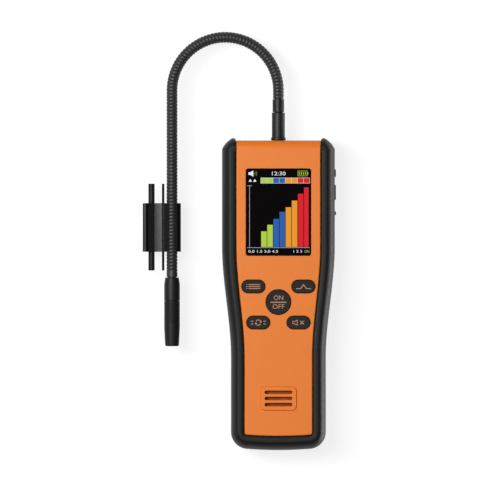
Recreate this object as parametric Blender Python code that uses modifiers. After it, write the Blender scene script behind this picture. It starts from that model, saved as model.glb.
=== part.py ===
"""A hand-held refrigerant leak detector with a gooseneck probe, lying on its back.

X runs across the body, Y along it towards the gooseneck, and Z out of its front face. The
origin is on the flat back, at the middle of the body's length and width. Sizes are in
millimetres, and each mesh is scaled to metres as it is made.
"""

import math

import bmesh
import bpy
from mathutils import Matrix, Vector
from mathutils.geometry import interpolate_bezier

MM = 0.001
GAP = 0.3  # clearance between pieces that seat on each other
PAST = 2.0  # how far a cutter runs past the wall that it cuts

# Plan of the body
BODY_LENGTH = 204.7
HEAD_WIDTH = 74.6
GRIP_WIDTH = 62.7
WAIST_TOP_DROP = 69.75  # from the body's top down to where it starts to narrow
WAIST_BOTTOM_RISE = 61.05  # from its foot up to where it stops
FOOT_RADIUS = 11.2
BOTTOM_CROWN = 0.8
HORN_DROP = 7.25  # from the top of a horn down to where its slant leaves the side
HORN_START_ANGLE = 25.0
HORN_RADIUS = 16.0
HORN_TIP_RADIUS = 1.6
LEAST_RADIUS = 1.5
BODY_TOP = BODY_LENGTH / 2
WAIST_TOP = BODY_TOP - WAIST_TOP_DROP
WAIST_BOTTOM = -BODY_TOP + WAIST_BOTTOM_RISE

# Rear cover, a tray whose lip stands inside the grip frame
REAR_DEPTH = 9.7
BACK_ROUND_WIDTH = 5.0
BACK_ROUND_DEPTH = 7.0
REAR_WALL = 4.2
REAR_FLOOR = 2.2
FLOOR_FILLET = 2.2
LIP_WALL = 1.5
LIP_HEIGHT = 3.0

# Grip frame, the black rim that wraps the sides and the foot
FRAME_WALL = 2.4
FRAME_STRAIGHT = 14.0
CREST_INSET = 6.0
CREST_RISE = 11.6
RIM_WIDTH = 9.2
GRIP_RIM_SHARE = 0.94  # the rim is a little narrower beside the grip than beside the head
RIM_DROP = 3.0
RIM_LAND = 1.6
RIM_UNDERCUT = 2.7
HORN_RISE = 1.6

# Front cover
FACE_DROP = 1.0  # from the rim's crest down to the front face
FACE_WALL = 2.2
FACE_EDGE_ROUND = 0.8
SKIRT_WALL = 2.0
FLANGE_THICKNESS = 1.8
FLANGE_LAP = 2.4
FLANGE_END_DROP = 14.35
TOP_WALL = 4.2
TOP_ROUND = 5.0

# Display
WINDOW_SIDE_MARGIN = 6.5
WINDOW_TOP_MARGIN = 18.85
WINDOW_HEIGHT = 57.0
WINDOW_RADIUS = 1.4
WINDOW_SINK = 0.3
WINDOW_LAP = 2.5
WINDOW_FLANGE = 1.2
MODULE_SIDE_LAP = 3.2
MODULE_END_LAP = 4.5
MODULE_RADIUS = 1.0
GLASS_SIDE_LAP = 1.2
GLASS_END_LAP = 1.5
GLASS_THICKNESS = 0.8

# Keys
POWER_DROP = 30.9  # from the window's lower edge down to the middle of the power key
POWER_WIDTH = 16.4
KEY_WIDTH = 15.4
KEY_HEIGHT = 8.5
UPPER_KEY_RISE = 10.3
LOWER_KEY_DROP = 13.5
UPPER_KEY_MARGIN = 2.0
LOWER_KEY_MARGIN = 2.7
KEY_PROUD = 0.5
KEY_EDGE = 0.4
KEY_LAP = 0.8
KEY_FLANGE = 1.1
KEY_TRAVEL = 0.6
PLUNGER_WIDTH = 5.0
MAT_WIDTH = 48.0
MAT_MARGIN = 2.0
MAT_THICKNESS = 0.7
DOME_WIDTH = 7.0
DOME_HEIGHT = 0.6

# Speaker and its grille
GRILLE_RISE = 34.35  # from the body's foot up to the middle of the grille
GRILLE_WIDTH = 24.4
GRILLE_HEIGHT = 16.3
GRILLE_RADIUS = 3.3
GRILLE_PROUD = 0.8
GRILLE_SLOPE = 0.4
SLOT_COUNT = 3
SLOT_PITCH = 4.05
SLOT_WIDTH = 18.3
SLOT_HEIGHT = 2.3
SPEAKER_WIDTH = 26.0
SPEAKER_DEPTH = 6.1
MAGNET_WIDTH = 14.0
SPEAKER_RING_WALL = 1.4
SPEAKER_RING_DEPTH = 3.0
SPEAKER_RIM = 1.0
CONE_DEPTH = 1.6
DUST_CAP_SHARE = 0.35
DUST_CAP_DEPTH = 0.6
CONE_EDGE_SHARE = 0.8
CONE_EDGE_DEPTH = 1.2
BASKET_EDGE_SHARE = 0.35
BASKET_FOOT_SHARE = 0.6
BASKET_MARGIN = 1.5

# Circuit board and what it carries
BOARD_Z = 25.4
BOARD_THICKNESS = 1.6
BOARD_INSET = 5.6
BOARD_FOOT_DROP = 23.6  # from the power key's middle down to the board's lower end
BOARD_TOP_MARGIN = 6.35
LOW_JOINT_Z = 14.0  # height at which the lowest pair of posts meets its bosses

# Screws, posts and bosses
HEAD_SCREW_INSET = 15.8
FOOT_SCREW_INSET = 14.35
TOP_SCREW_MARGIN = 9.35
MIDDLE_SCREW_DROP = 8.0  # from the window's lower edge
FOOT_SCREW_MARGIN = 16.85
SHANK_WIDTH = 2.9
SCREW_LENGTH = 22.0
SCREW_HEAD_WIDTH = 5.4
HEAD_HEIGHT = 1.7
DRIVE_WIDTH = 2.4
DRIVE_DEPTH = 1.0
RECESS_DEPTH = 9.0
POST_WALL = 1.2
BOSS_WIDTH = 6.4

# Battery, pump and gas cell
BATTERY_WIDTH = 34.0
BATTERY_LENGTH = 52.0
BATTERY_RISE = 52.35  # from the body's foot up to the middle of the pack
BATTERY_DEPTH = 9.5
BATTERY_RADIUS = 3.0
BATTERY_CHAMFER = 1.0
RIB_THICKNESS = 1.5
RIB_HEIGHT = 6.5
RIB_LENGTH = 40.0
CELL_WIDTH = 18.0
CELL_DEPTH = 14.5
CELL_FOOT_RISE = 7.5  # from the window's lower edge
CELL_TOP_MARGIN = 30.35
CELL_RADIUS = 2.0
CELL_LID_STEP = 1.5
CELL_TO_PUMP = 3.0
PUMP_WIDTH = 14.0
PUMP_DEPTH = 15.0
PUMP_FOOT_RISE = 13.5  # from the window's lower edge
PUMP_LENGTH = 26.0
PUMP_HEAD_LENGTH = 10.0
MOTOR_STEP = 1.0
NIPPLE_WIDTH = 3.0
NIPPLE_LENGTH = 4.0
HOSE_WIDTH = 4.0
HOSE_BEND = 9.0
PUMP_HOSE_BEND = 14.4
HOSE_POINTS = 10
LOW_NIPPLE_Z = 10.0
HIGH_NIPPLE_Z = 14.0

# Ports and the button on the right-hand side
PORT_Z = 22.0
JACK_TOP_MARGIN = 21.55
USB_TOP_MARGIN = 34.25
BUTTON_TOP_MARGIN = 48.05
JACK_FLAP_LENGTH = 4.9
USB_FLAP_LENGTH = 9.9
FLAP_HEIGHT = 6.4
FLAP_RADIUS = 1.0
FLAP_SINK = 0.6
FLAP_PROUD = 0.7
FLAP_EDGE = 0.3
JACK_WIDTH = 3.6
JACK_BODY = 5.6
USB_WIDTH = 7.6
USB_HEIGHT = 2.8
USB_WALL = 0.5
PORT_DEPTH = 7.0
PORT_STANDOFF = 1.2
PORT_END_WALL = 1.0
BUTTON_WIDTH = 2.5
BUTTON_PROUD = 0.8
BUTTON_TRAVEL = 0.5
BUTTON_LAP = 0.8
BUTTON_FLANGE = 0.9
SWITCH_SIZE = 4.2
SWITCH_DEPTH = 3.0

# Gland and ferrule that hold the gooseneck
NECK_Z = 18.0
THREAD_WIDTH = 8.0
THREAD_LENGTH = 9.35
COLLAR_WIDTH = 9.8
COLLAR_LENGTH = 1.85
SLEEVE_WIDTH = 8.6
SLEEVE_LENGTH = 16.5
FERRULE_WIDTH = 7.7
FERRULE_LENGTH = 8.5
SPIGOT_WIDTH = 5.5
SPIGOT_LENGTH = 8.0
AIR_BORE = 2.6
NUT_ACROSS = 11.0
NUT_LENGTH = 4.2
EDGE_BREAK = 0.4

# Gooseneck
NECK_WIDTH = 7.3
GROOVE_DEPTH = 0.4
RIDGE_PITCH = 2.23
ARCH_RADIUS = 35.2
NECK_RISE = 5.8  # straight run from the ferrule's mouth up to the arch
NECK_FALL = 120.0  # straight run from the arch down to the collar
NECK_COLLAR = 3.5
NECK_SIDES = 8

# Probe
PROBE_NECK_WIDTH = 9.0
PROBE_WIDTH = 10.4
PROBE_TAPER = 4.6
HOLDER_LENGTH = 15.3
STEM_WIDTH = 7.2
STEM_LENGTH = 11.5
SEAL_THICKNESS = 0.8
SEAL_REACH = 4.0
SEAL_GROOVE_DEPTH = 0.7
CAP_LENGTH = 29.9
CAP_STRAIGHT = 16.2
CAP_TIP_WIDTH = 9.2
CAP_TIP_ROUND = 1.0
CAP_WALL = 1.45
CAP_END_WALL = 3.0
INLET_WIDTH = 3.0
GRIP_RINGS = 5
GRIP_RING_PITCH = 2.2
GRIP_RING_DEPTH = 0.3
FILTER_WIDTH = 5.4
FILTER_LENGTH = 13.0

# Clip on the gooseneck, with the tube and the pin that it carries
CLIP_DROP = 74.6  # from the foot of the arch down to the clip's upper end
CLIP_LENGTH = 32.2
CLIP_RIGHT = 5.9
CLIP_LEFT = -19.4
CLIP_BACK = -6.0
CLIP_CORNER = 3.0
LIP_Z = 1.0
MOUTH_WIDTH = 4.8
ARM_HEIGHT = 3.6
VALLEY_Z = 2.0
BULGE_X = -9.2
BULGE_RADIUS = 3.0
BULGE_EDGE_ANGLE = 10.0
LOBE_START_ANGLE = 20.0
LOBE_RADIUS = 1.8
ROD_LENGTH = 57.5
ROD_RISE = 12.9  # from the clip's upper end up to the ends of the tube and the pin
ROD_Z = -1.5
TUBE_X = -13.6
TUBE_WIDTH = 4.2
TUBE_WALL = 0.6
PIN_X = -5.9
PIN_WIDTH = 1.6

TURNED_SIDES = 16
SMALL_SIDES = 10
SHARP_ANGLE = 35.0

# Heights and places that follow from the sizes above
FRAME_BOTTOM = REAR_DEPTH + GAP
FRAME_SIDE_TOP = FRAME_BOTTOM + FRAME_STRAIGHT
CREST_Z = FRAME_SIDE_TOP + CREST_RISE
RIM_EDGE_Z = CREST_Z - RIM_DROP
RIM_FOOT_Z = RIM_EDGE_Z - RIM_LAND
LIP_INSET = FRAME_WALL + GAP
FACE_Z = CREST_Z - FACE_DROP
FACE_UNDER = FACE_Z - FACE_WALL
PANEL_INSET = RIM_WIDTH + GAP
CAVITY_INSET = PANEL_INSET + SKIRT_WALL
FLANGE_TOP = RIM_FOOT_Z - GAP
FLANGE_BOTTOM = FLANGE_TOP - FLANGE_THICKNESS
CAVITY_TOP_Y = BODY_TOP - TOP_WALL
BOARD_FRONT = BOARD_Z + BOARD_THICKNESS
ON_BOARD = BOARD_FRONT + GAP
UNDER_BOARD = BOARD_Z - GAP
ON_FLOOR = REAR_FLOOR + GAP
WINDOW_WIDTH = HEAD_WIDTH - 2 * (PANEL_INSET + WINDOW_SIDE_MARGIN)
WINDOW_Y = BODY_TOP - WINDOW_TOP_MARGIN - WINDOW_HEIGHT / 2
WINDOW_FOOT = WINDOW_Y - WINDOW_HEIGHT / 2
POWER_Y = WINDOW_FOOT - POWER_DROP
BOARD_BOTTOM = POWER_Y - BOARD_FOOT_DROP
BOARD_TOP = BODY_TOP - BOARD_TOP_MARGIN
GRILLE_Y = -BODY_TOP + GRILLE_RISE
SCREW_PLACES = (
    (HEAD_WIDTH / 2 - HEAD_SCREW_INSET, BODY_TOP - TOP_SCREW_MARGIN),
    (HEAD_WIDTH / 2 - HEAD_SCREW_INSET, WINDOW_FOOT - MIDDLE_SCREW_DROP),
    (GRIP_WIDTH / 2 - FOOT_SCREW_INSET, -BODY_TOP + FOOT_SCREW_MARGIN),
)
BATTERY_Y = -BODY_TOP + BATTERY_RISE
CELL_TOP = BODY_TOP - CELL_TOP_MARGIN
CELL_BOTTOM = WINDOW_FOOT + CELL_FOOT_RISE
CELL_LENGTH = CELL_TOP - CELL_BOTTOM
PUMP_X = CELL_WIDTH / 2 + CELL_TO_PUMP + PUMP_WIDTH / 2
PUMP_BOTTOM = WINDOW_FOOT + PUMP_FOOT_RISE
PUMP_TOP = PUMP_BOTTOM + PUMP_LENGTH
SIDE_X = HEAD_WIDTH / 2
PORT_FLAPS = (
    ("jack_cover", BODY_TOP - JACK_TOP_MARGIN, JACK_FLAP_LENGTH),
    ("usb_cover", BODY_TOP - USB_TOP_MARGIN, USB_FLAP_LENGTH),
)
BUTTON_Y = BODY_TOP - BUTTON_TOP_MARGIN
NECK_X = -2 * ARCH_RADIUS
GLAND_Y = BODY_TOP + GAP
SLEEVE_END_Y = GLAND_Y + COLLAR_LENGTH + SLEEVE_LENGTH
FERRULE_TOP = SLEEVE_END_Y + GAP + FERRULE_LENGTH
THREAD_END_Y = GLAND_Y - THREAD_LENGTH
NECK_START_Y = FERRULE_TOP
ARCH_Y = NECK_START_Y + NECK_RISE
NECK_END_Y = ARCH_Y - NECK_FALL
CLIP_TOP = ARCH_Y - CLIP_DROP
ROD_TOP = CLIP_TOP + ROD_RISE
PROBE_TOP_Y = NECK_END_Y - NECK_COLLAR - GAP
CAP_TOP_Y = PROBE_TOP_Y - HOLDER_LENGTH - GAP
ALONG_Y = (-math.pi / 2, 0.0, 0.0)  # turns a piece's own Z to +Y
AGAINST_Y = (math.pi / 2, 0.0, 0.0)  # turns a piece's own Z to -Y and its own Y to +Z

for old in list(bpy.data.objects):
    bpy.data.objects.remove(old, do_unlink=True)

PARTS = bpy.data.collections.new("refrigerant_leak_detector")
CUTTERS = bpy.data.collections.new("cutters")
for collection in (PARTS, CUTTERS):
    bpy.context.scene.collection.children.link(collection)


def material(name, color, roughness, metallic=0.0):
    """A plain Principled material in the part's own colour."""
    made = bpy.data.materials.new(name)
    made.use_nodes = True
    shader = made.node_tree.nodes["Principled BSDF"]
    shader.inputs["Base Color"].default_value = (*color, 1.0)
    shader.inputs["Roughness"].default_value = roughness
    shader.inputs["Metallic"].default_value = metallic
    made.diffuse_color = (*color, 1.0)
    return made


ORANGE = material("orange_plastic", (0.79, 0.23, 0.06), 0.4)
GRIP = material("black_grip", (0.022, 0.023, 0.024), 0.55)
SHELL = material("black_shell", (0.030, 0.031, 0.033), 0.5)
KEY_RUBBER = material("key_rubber", (0.031, 0.027, 0.025), 0.6)
WINDOW = material("window_gloss", (0.004, 0.004, 0.005), 0.1)
BOARD = material("circuit_board", (0.02, 0.16, 0.07), 0.5)
SILICONE = material("silicone", (0.35, 0.35, 0.34), 0.6)
STEEL = material("steel", (0.62, 0.62, 0.63), 0.3, 1.0)
CHROME = material("dark_chrome", (0.25, 0.25, 0.26), 0.15, 1.0)
NECK_BLACK = material("neck_black", (0.03, 0.03, 0.03), 0.45, 0.6)
PROBE_BLACK = material("probe_black", (0.035, 0.035, 0.035), 0.5)
FOIL = material("battery_wrap", (0.03, 0.10, 0.30), 0.4)
BRASS = material("brass", (0.62, 0.42, 0.16), 0.35, 1.0)
FELT = material("filter_felt", (0.75, 0.73, 0.68), 0.9)


def metres(values):
    return tuple(value * MM for value in values)


def smoothstep(share):
    share = min(max(share, 0.0), 1.0)
    return share * share * (3.0 - 2.0 * share)


def arc(cx, cy, radius, start, end, steps=4):
    """Points on a circle from one angle to another, in degrees, with both ends."""
    angles = [math.radians(start + (end - start) * i / steps) for i in range(steps + 1)]
    return [(cx + radius * math.cos(a), cy + radius * math.sin(a)) for a in angles]


def circle(width, cx=0.0, cy=0.0, count=12):
    return arc(cx, cy, width / 2, -90, 270 - 360 / count, count - 1)


def obround(width, height, cx=0.0, cy=0.0, steps=6):
    """A slot with round ends, or a circle with as many points where it is as high as wide."""
    radius = height / 2
    reach = width / 2 - radius
    if reach <= 0:
        return circle(height, cx, cy, 2 * steps + 2)
    right = arc(cx + reach, cy, radius, -90, 90, steps)
    return right + arc(cx - reach, cy, radius, 90, 270, steps)


def rounded_rectangle(width, height, radius, cx=0.0, cy=0.0, steps=3):
    x = width / 2 - radius
    y = height / 2 - radius
    right = arc(cx + x, cy - y, radius, -90, 0, steps) + arc(cx + x, cy + y, radius, 0, 90, steps)
    left = arc(cx - x, cy + y, radius, 90, 180, steps) + arc(cx - x, cy - y, radius, 180, 270, steps)
    return right + left


def half_width(y, inset):
    """Half the body's width at y, to a line that lies inset inside its edge."""
    head = HEAD_WIDTH / 2 - inset
    grip = GRIP_WIDTH / 2 - inset * GRIP_RIM_SHARE
    return grip + (head - grip) * smoothstep((y - WAIST_BOTTOM) / (WAIST_TOP - WAIST_BOTTOM))


def slanted_corner(x, y, size):
    """The upper corner at x, y: a long arc that leaves the side at an angle, size below the
    corner, then a short one round the tip."""
    share = size / HORN_DROP
    radius = HORN_RADIUS * share
    tip_radius = HORN_TIP_RADIUS * share
    cx = x - radius * math.cos(math.radians(HORN_START_ANGLE))
    cy = y - size - radius * math.sin(math.radians(HORN_START_ANGLE))
    turn = math.asin((y - tip_radius - cy) / (radius - tip_radius))
    tip = cx + (radius - tip_radius) * math.cos(turn)
    turn = math.degrees(turn)
    return (arc(cx, cy, radius, HORN_START_ANGLE, turn, 2)
            + arc(tip, y - tip_radius, tip_radius, turn, 90, 2)[1:])


def body_outline(inset, top, corner):
    """The body's plan, moved inwards by inset, with its upper edge at top. It starts at the
    middle of the lower edge and runs up the right-hand side."""
    low = -BODY_TOP + inset + BOTTOM_CROWN
    foot = max(FOOT_RADIUS - inset, LEAST_RADIUS)
    grip = half_width(WAIST_BOTTOM, inset)
    head = half_width(WAIST_TOP, inset)
    waist = [WAIST_BOTTOM + (WAIST_TOP - WAIST_BOTTOM) * i / 6 for i in range(7)]
    right = [((grip - foot) / 2, low - 0.75 * BOTTOM_CROWN)]
    right += arc(grip - foot, low + foot, foot, -90, 0)
    right += [(half_width(y, inset), y) for y in waist]
    right += slanted_corner(head, top, corner)
    left = [(-x, y) for x, y in reversed(right)]
    return [(0.0, low - BOTTOM_CROWN), *right, *left]


def shell_outline(inset, top=BODY_TOP):
    """An outline whose upper edge moves inwards with the others."""
    return body_outline(inset, top - inset, max(HORN_DROP - inset, LEAST_RADIUS))


def panel_outline(inset, top=BODY_TOP):
    """An outline whose upper edge stays where it is put, with tight corners."""
    return body_outline(inset, top, EDGE_BREAK)


def key_layout():
    """Name, X, Y, width and height of each key. The outer ones keep to the panel's sides."""
    upper = POWER_Y + UPPER_KEY_RISE
    lower = POWER_Y - LOWER_KEY_DROP
    upper_x = half_width(upper, PANEL_INSET) - UPPER_KEY_MARGIN - KEY_WIDTH / 2
    lower_x = half_width(lower, PANEL_INSET) - LOWER_KEY_MARGIN - KEY_WIDTH / 2
    return (
        ("mode_key", -upper_x, upper, KEY_WIDTH, KEY_HEIGHT),
        ("peak_key", upper_x, upper, KEY_WIDTH, KEY_HEIGHT),
        ("power_key", 0.0, POWER_Y, POWER_WIDTH, POWER_WIDTH),
        ("reset_key", -lower_x, lower, KEY_WIDTH, KEY_HEIGHT),
        ("mute_key", lower_x, lower, KEY_WIDTH, KEY_HEIGHT),
    )


def flat(points, z):
    return [(x, y, z) for x, y in points]


def sideways(points, x):
    """An outline drawn in Y and Z, standing across X."""
    return [(x, y, z) for y, z in points]


def add_loft(shape, rings, closed=False):
    """A closed surface through rings of equally many points, capped or joined end to end."""
    loops = [[shape.verts.new(point) for point in ring] for ring in rings]
    pairs = list(zip(loops, loops[1:]))
    if closed:
        pairs.append((loops[-1], loops[0]))
    for lower, upper in pairs:
        for i in range(len(lower)):
            j = (i + 1) % len(lower)
            shape.faces.new((lower[i], lower[j], upper[j], upper[i]))
    if not closed:
        shape.faces.new(loops[0])
        shape.faces.new(loops[-1])
    return shape


def add_prism(shape, points, low, high):
    return add_loft(shape, [flat(points, low), flat(points, high)])


def add_box(shape, low, high):
    middle = [(a + b) / 2 for a, b in zip(low, high)]
    size = [b - a for a, b in zip(low, high)]
    place = Matrix.Translation(middle) @ Matrix.Diagonal((*size, 1.0))
    bmesh.ops.create_cube(shape, size=1.0, matrix=place)
    return shape


def add_cylinder(shape, width, low, high, x=0.0, y=0.0, sides=SMALL_SIDES):
    """A cylinder along Z."""
    place = Matrix.Translation((x, y, (low + high) / 2))
    bmesh.ops.create_cone(
        shape, cap_ends=True, segments=sides, radius1=width / 2, radius2=width / 2,
        depth=high - low, matrix=place,
    )
    return shape


def add_bar(shape, width, low, high, x, z, sides=TURNED_SIDES):
    """A cylinder along Y."""
    place = Matrix.Translation((x, (low + high) / 2, z)) @ Matrix.Rotation(math.pi / 2, 4, "X")
    bmesh.ops.create_cone(
        shape, cap_ends=True, segments=sides, radius1=width / 2, radius2=width / 2,
        depth=high - low, matrix=place,
    )
    return shape


def place_mesh(name, shape, collection, at, turn):
    """An object from a shape in millimetres, about its own origin."""
    bmesh.ops.recalc_face_normals(shape, faces=shape.faces)
    bmesh.ops.scale(shape, vec=(MM, MM, MM), verts=shape.verts)
    mesh = bpy.data.meshes.new(name)
    shape.to_mesh(mesh)
    shape.free()
    mesh.shade_smooth()
    mesh.set_sharp_from_angle(angle=math.radians(SHARP_ANGLE))
    made = bpy.data.objects.new(name, mesh)
    made.location = metres(at)
    made.rotation_euler = turn
    collection.objects.link(made)
    return made


def piece(name, shape, finish, at=(0.0, 0.0, 0.0), turn=(0.0, 0.0, 0.0)):
    made = place_mesh(name, shape, PARTS, at, turn)
    made.data.materials.append(finish)
    return made


def combine(target, operation, name, shape, at, turn):
    tool = place_mesh(name, shape, CUTTERS, at, turn)
    tool.hide_render = True
    tool.display_type = "WIRE"
    modifier = target.modifiers.new(name, "BOOLEAN")
    modifier.operation = operation
    modifier.solver = "EXACT"
    modifier.object = tool


def cut(target, name, shape, at=(0.0, 0.0, 0.0), turn=(0.0, 0.0, 0.0)):
    combine(target, "DIFFERENCE", name, shape, at, turn)


def join(target, name, shape, at=(0.0, 0.0, 0.0), turn=(0.0, 0.0, 0.0)):
    combine(target, "UNION", name, shape, at, turn)


def turned(name, profile, finish, at, turn=ALONG_Y, ring=False, sides=TURNED_SIDES):
    """A profile of radius and height, from the top down, turned about the piece's own Z."""
    mesh = bpy.data.meshes.new(name)
    edges = [(i, i + 1) for i in range(len(profile) - 1)]
    if ring:
        edges.append((len(profile) - 1, 0))
    mesh.from_pydata([metres((radius, 0.0, height)) for radius, height in profile], edges, [])
    made = bpy.data.objects.new(name, mesh)
    made.location = metres(at)
    made.rotation_euler = turn
    PARTS.objects.link(made)
    mesh.materials.append(finish)
    screw = made.modifiers.new("turn", "SCREW")
    screw.steps = sides
    screw.render_steps = sides
    screw.use_merge_vertices = True
    screw.merge_threshold = 0.00001
    screw.use_smooth_shade = True
    return made


def hose(name, start, leave, arrive, end, finish):
    """A hose on one smooth curve, leaving its start and reaching its end along two handles."""
    route = interpolate_bezier(
        Vector(start), Vector(start) + Vector(leave), Vector(end) + Vector(arrive), Vector(end),
        HOSE_POINTS,
    )
    curve = bpy.data.curves.new(name, "CURVE")
    curve.dimensions = "3D"
    curve.bevel_depth = HOSE_WIDTH / 2 * MM
    curve.bevel_resolution = 2
    curve.use_fill_caps = True
    spline = curve.splines.new("POLY")
    spline.points.add(len(route) - 1)
    for point, place in zip(spline.points, route):
        point.co = (*metres(place), 1.0)
    made = bpy.data.objects.new(name, curve)
    curve.materials.append(finish)
    PARTS.objects.link(made)
    return made


def joint_frame(name, at, *pieces):
    """Adds an empty on a joint's axis that carries the pieces that move with it."""
    frame = bpy.data.objects.new(name, None)
    frame.location = metres(at)
    PARTS.objects.link(frame)
    for moved in pieces:
        moved.parent = frame
        moved.matrix_parent_inverse = Matrix.Translation(frame.location).inverted()


def both_sides(places):
    return [(side * x, y) for x, y in places for side in (-1, 1)]


def post_top(y):
    """The two lowest posts stop low, and the others carry the circuit board."""
    return LOW_JOINT_Z if y == SCREW_PLACES[-1][1] else UNDER_BOARD


def boss_foot(y):
    return LOW_JOINT_Z + GAP if y == SCREW_PLACES[-1][1] else ON_BOARD


def rear_cover():
    """The back tray with its posts, battery ribs and half of the gland's seat."""
    corner = [(BACK_ROUND_WIDTH * (1 - math.sin(a)), BACK_ROUND_DEPTH * (1 - math.cos(a)))
              for a in (math.radians(90 * i / 5) for i in range(6))]
    section = corner + [
        (0.0, REAR_DEPTH),
        (LIP_INSET, REAR_DEPTH),
        (LIP_INSET, REAR_DEPTH + LIP_HEIGHT),
        (LIP_INSET + LIP_WALL, REAR_DEPTH + LIP_HEIGHT),
        (REAR_WALL, REAR_FLOOR + FLOOR_FILLET),
        (REAR_WALL + FLOOR_FILLET, REAR_FLOOR),
    ]
    shape = bmesh.new()
    add_loft(shape, [flat(shell_outline(inset), z) for inset, z in section])
    cover = piece("rear_cover", shape, SHELL)
    head_half = half_width(WAIST_TOP, PANEL_INSET)
    join(cover, "rear_top_wall", add_box(
        bmesh.new(), (-head_half, CAVITY_TOP_Y, REAR_FLOOR), (head_half, BODY_TOP, NECK_Z - GAP / 2)))
    posts = bmesh.new()
    for x, y in both_sides(SCREW_PLACES):
        width = SCREW_HEAD_WIDTH + 2 * (GAP + POST_WALL)
        add_cylinder(posts, width, REAR_FLOOR / 2, post_top(y), x, y, TURNED_SIDES)
    join(cover, "posts", posts)
    ribs = bmesh.new()
    inner = BATTERY_WIDTH / 2 + GAP
    for side in (-1, 1):
        ends = sorted((side * inner, side * (inner + RIB_THICKNESS)))
        add_box(ribs, (ends[0], BATTERY_Y - RIB_LENGTH / 2, REAR_FLOOR / 2),
                (ends[1], BATTERY_Y + RIB_LENGTH / 2, REAR_FLOOR + RIB_HEIGHT))
    join(cover, "battery_ribs", ribs)
    holes = bmesh.new()
    for x, y in both_sides(SCREW_PLACES):
        wide = circle(SCREW_HEAD_WIDTH + 2 * GAP, x, y)
        narrow = circle(SHANK_WIDTH + 2 * GAP, x, y)
        add_loft(holes, [flat(wide, -PAST), flat(wide, RECESS_DEPTH),
                         flat(narrow, RECESS_DEPTH), flat(narrow, post_top(y) + PAST)])
    cut(cover, "screw_recesses", holes)
    cut(cover, "rear_neck_seat", neck_seat())
    return cover


def neck_seat():
    """The round hole for the gland, which both covers share."""
    return add_bar(bmesh.new(), THREAD_WIDTH + 2 * GAP, CAVITY_TOP_Y - PAST, BODY_TOP + PAST, 0.0, NECK_Z)


def grip_frame():
    """One section swept round the whole plan, then opened between the horns at the top."""
    crest = [(CREST_INSET * (1 - math.cos(a)), FRAME_SIDE_TOP + CREST_RISE * math.sin(a))
             for a in (math.radians(90 * i / 5) for i in range(6))]
    shoulder = [(CREST_INSET + (RIM_WIDTH - CREST_INSET) * math.sin(a),
                 RIM_EDGE_Z + RIM_DROP * math.cos(a))
                for a in (math.radians(90 * i / 3) for i in range(1, 4))]
    section = [(0.0, FRAME_BOTTOM), *crest, *shoulder,
               (RIM_WIDTH, RIM_FOOT_Z),
               (RIM_WIDTH - RIM_UNDERCUT, RIM_FOOT_Z),
               (FRAME_WALL, FRAME_SIDE_TOP),
               (FRAME_WALL, FRAME_BOTTOM)]
    horn_top = BODY_TOP + HORN_RISE
    shape = bmesh.new()
    add_loft(shape, [flat(shell_outline(inset, horn_top), z) for inset, z in section], closed=True)
    frame = piece("grip_frame", shape, GRIP)
    opening = half_width(WAIST_TOP, RIM_WIDTH) + EDGE_BREAK / 4
    side = [(opening, BODY_TOP - FLANGE_END_DROP),
            *arc(opening + HORN_TIP_RADIUS, horn_top - HORN_TIP_RADIUS, HORN_TIP_RADIUS, 180, 90, 3),
            (opening + HORN_TIP_RADIUS, horn_top + PAST)]
    gap = side + [(-x, y) for x, y in reversed(side)]
    cut(frame, "horn_gap", add_prism(bmesh.new(), gap, -PAST, CREST_Z + PAST))
    recesses = bmesh.new()
    holes = bmesh.new()
    for name, y, length in PORT_FLAPS:
        seat = rounded_rectangle(length + 2 * GAP, FLAP_HEIGHT + 2 * GAP, FLAP_RADIUS + GAP, y, PORT_Z)
        add_loft(recesses, [sideways(seat, SIDE_X - FLAP_SINK - GAP), sideways(seat, SIDE_X + PAST)])
        hole = circle(JACK_WIDTH + 2 * GAP, y, PORT_Z)
        if name == "usb_cover":
            hole = obround(USB_WIDTH + 2 * GAP, USB_HEIGHT + 2 * GAP, y, PORT_Z)
        add_loft(holes, [sideways(hole, SIDE_X - FRAME_WALL - PAST), sideways(hole, SIDE_X + PAST)])
    button = circle(BUTTON_WIDTH + 2 * GAP, BUTTON_Y, PORT_Z)
    add_loft(holes, [sideways(button, SIDE_X - FRAME_WALL - PAST), sideways(button, SIDE_X + PAST)])
    cut(frame, "flap_recesses", recesses)
    cut(frame, "port_holes", holes)
    return frame


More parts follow.
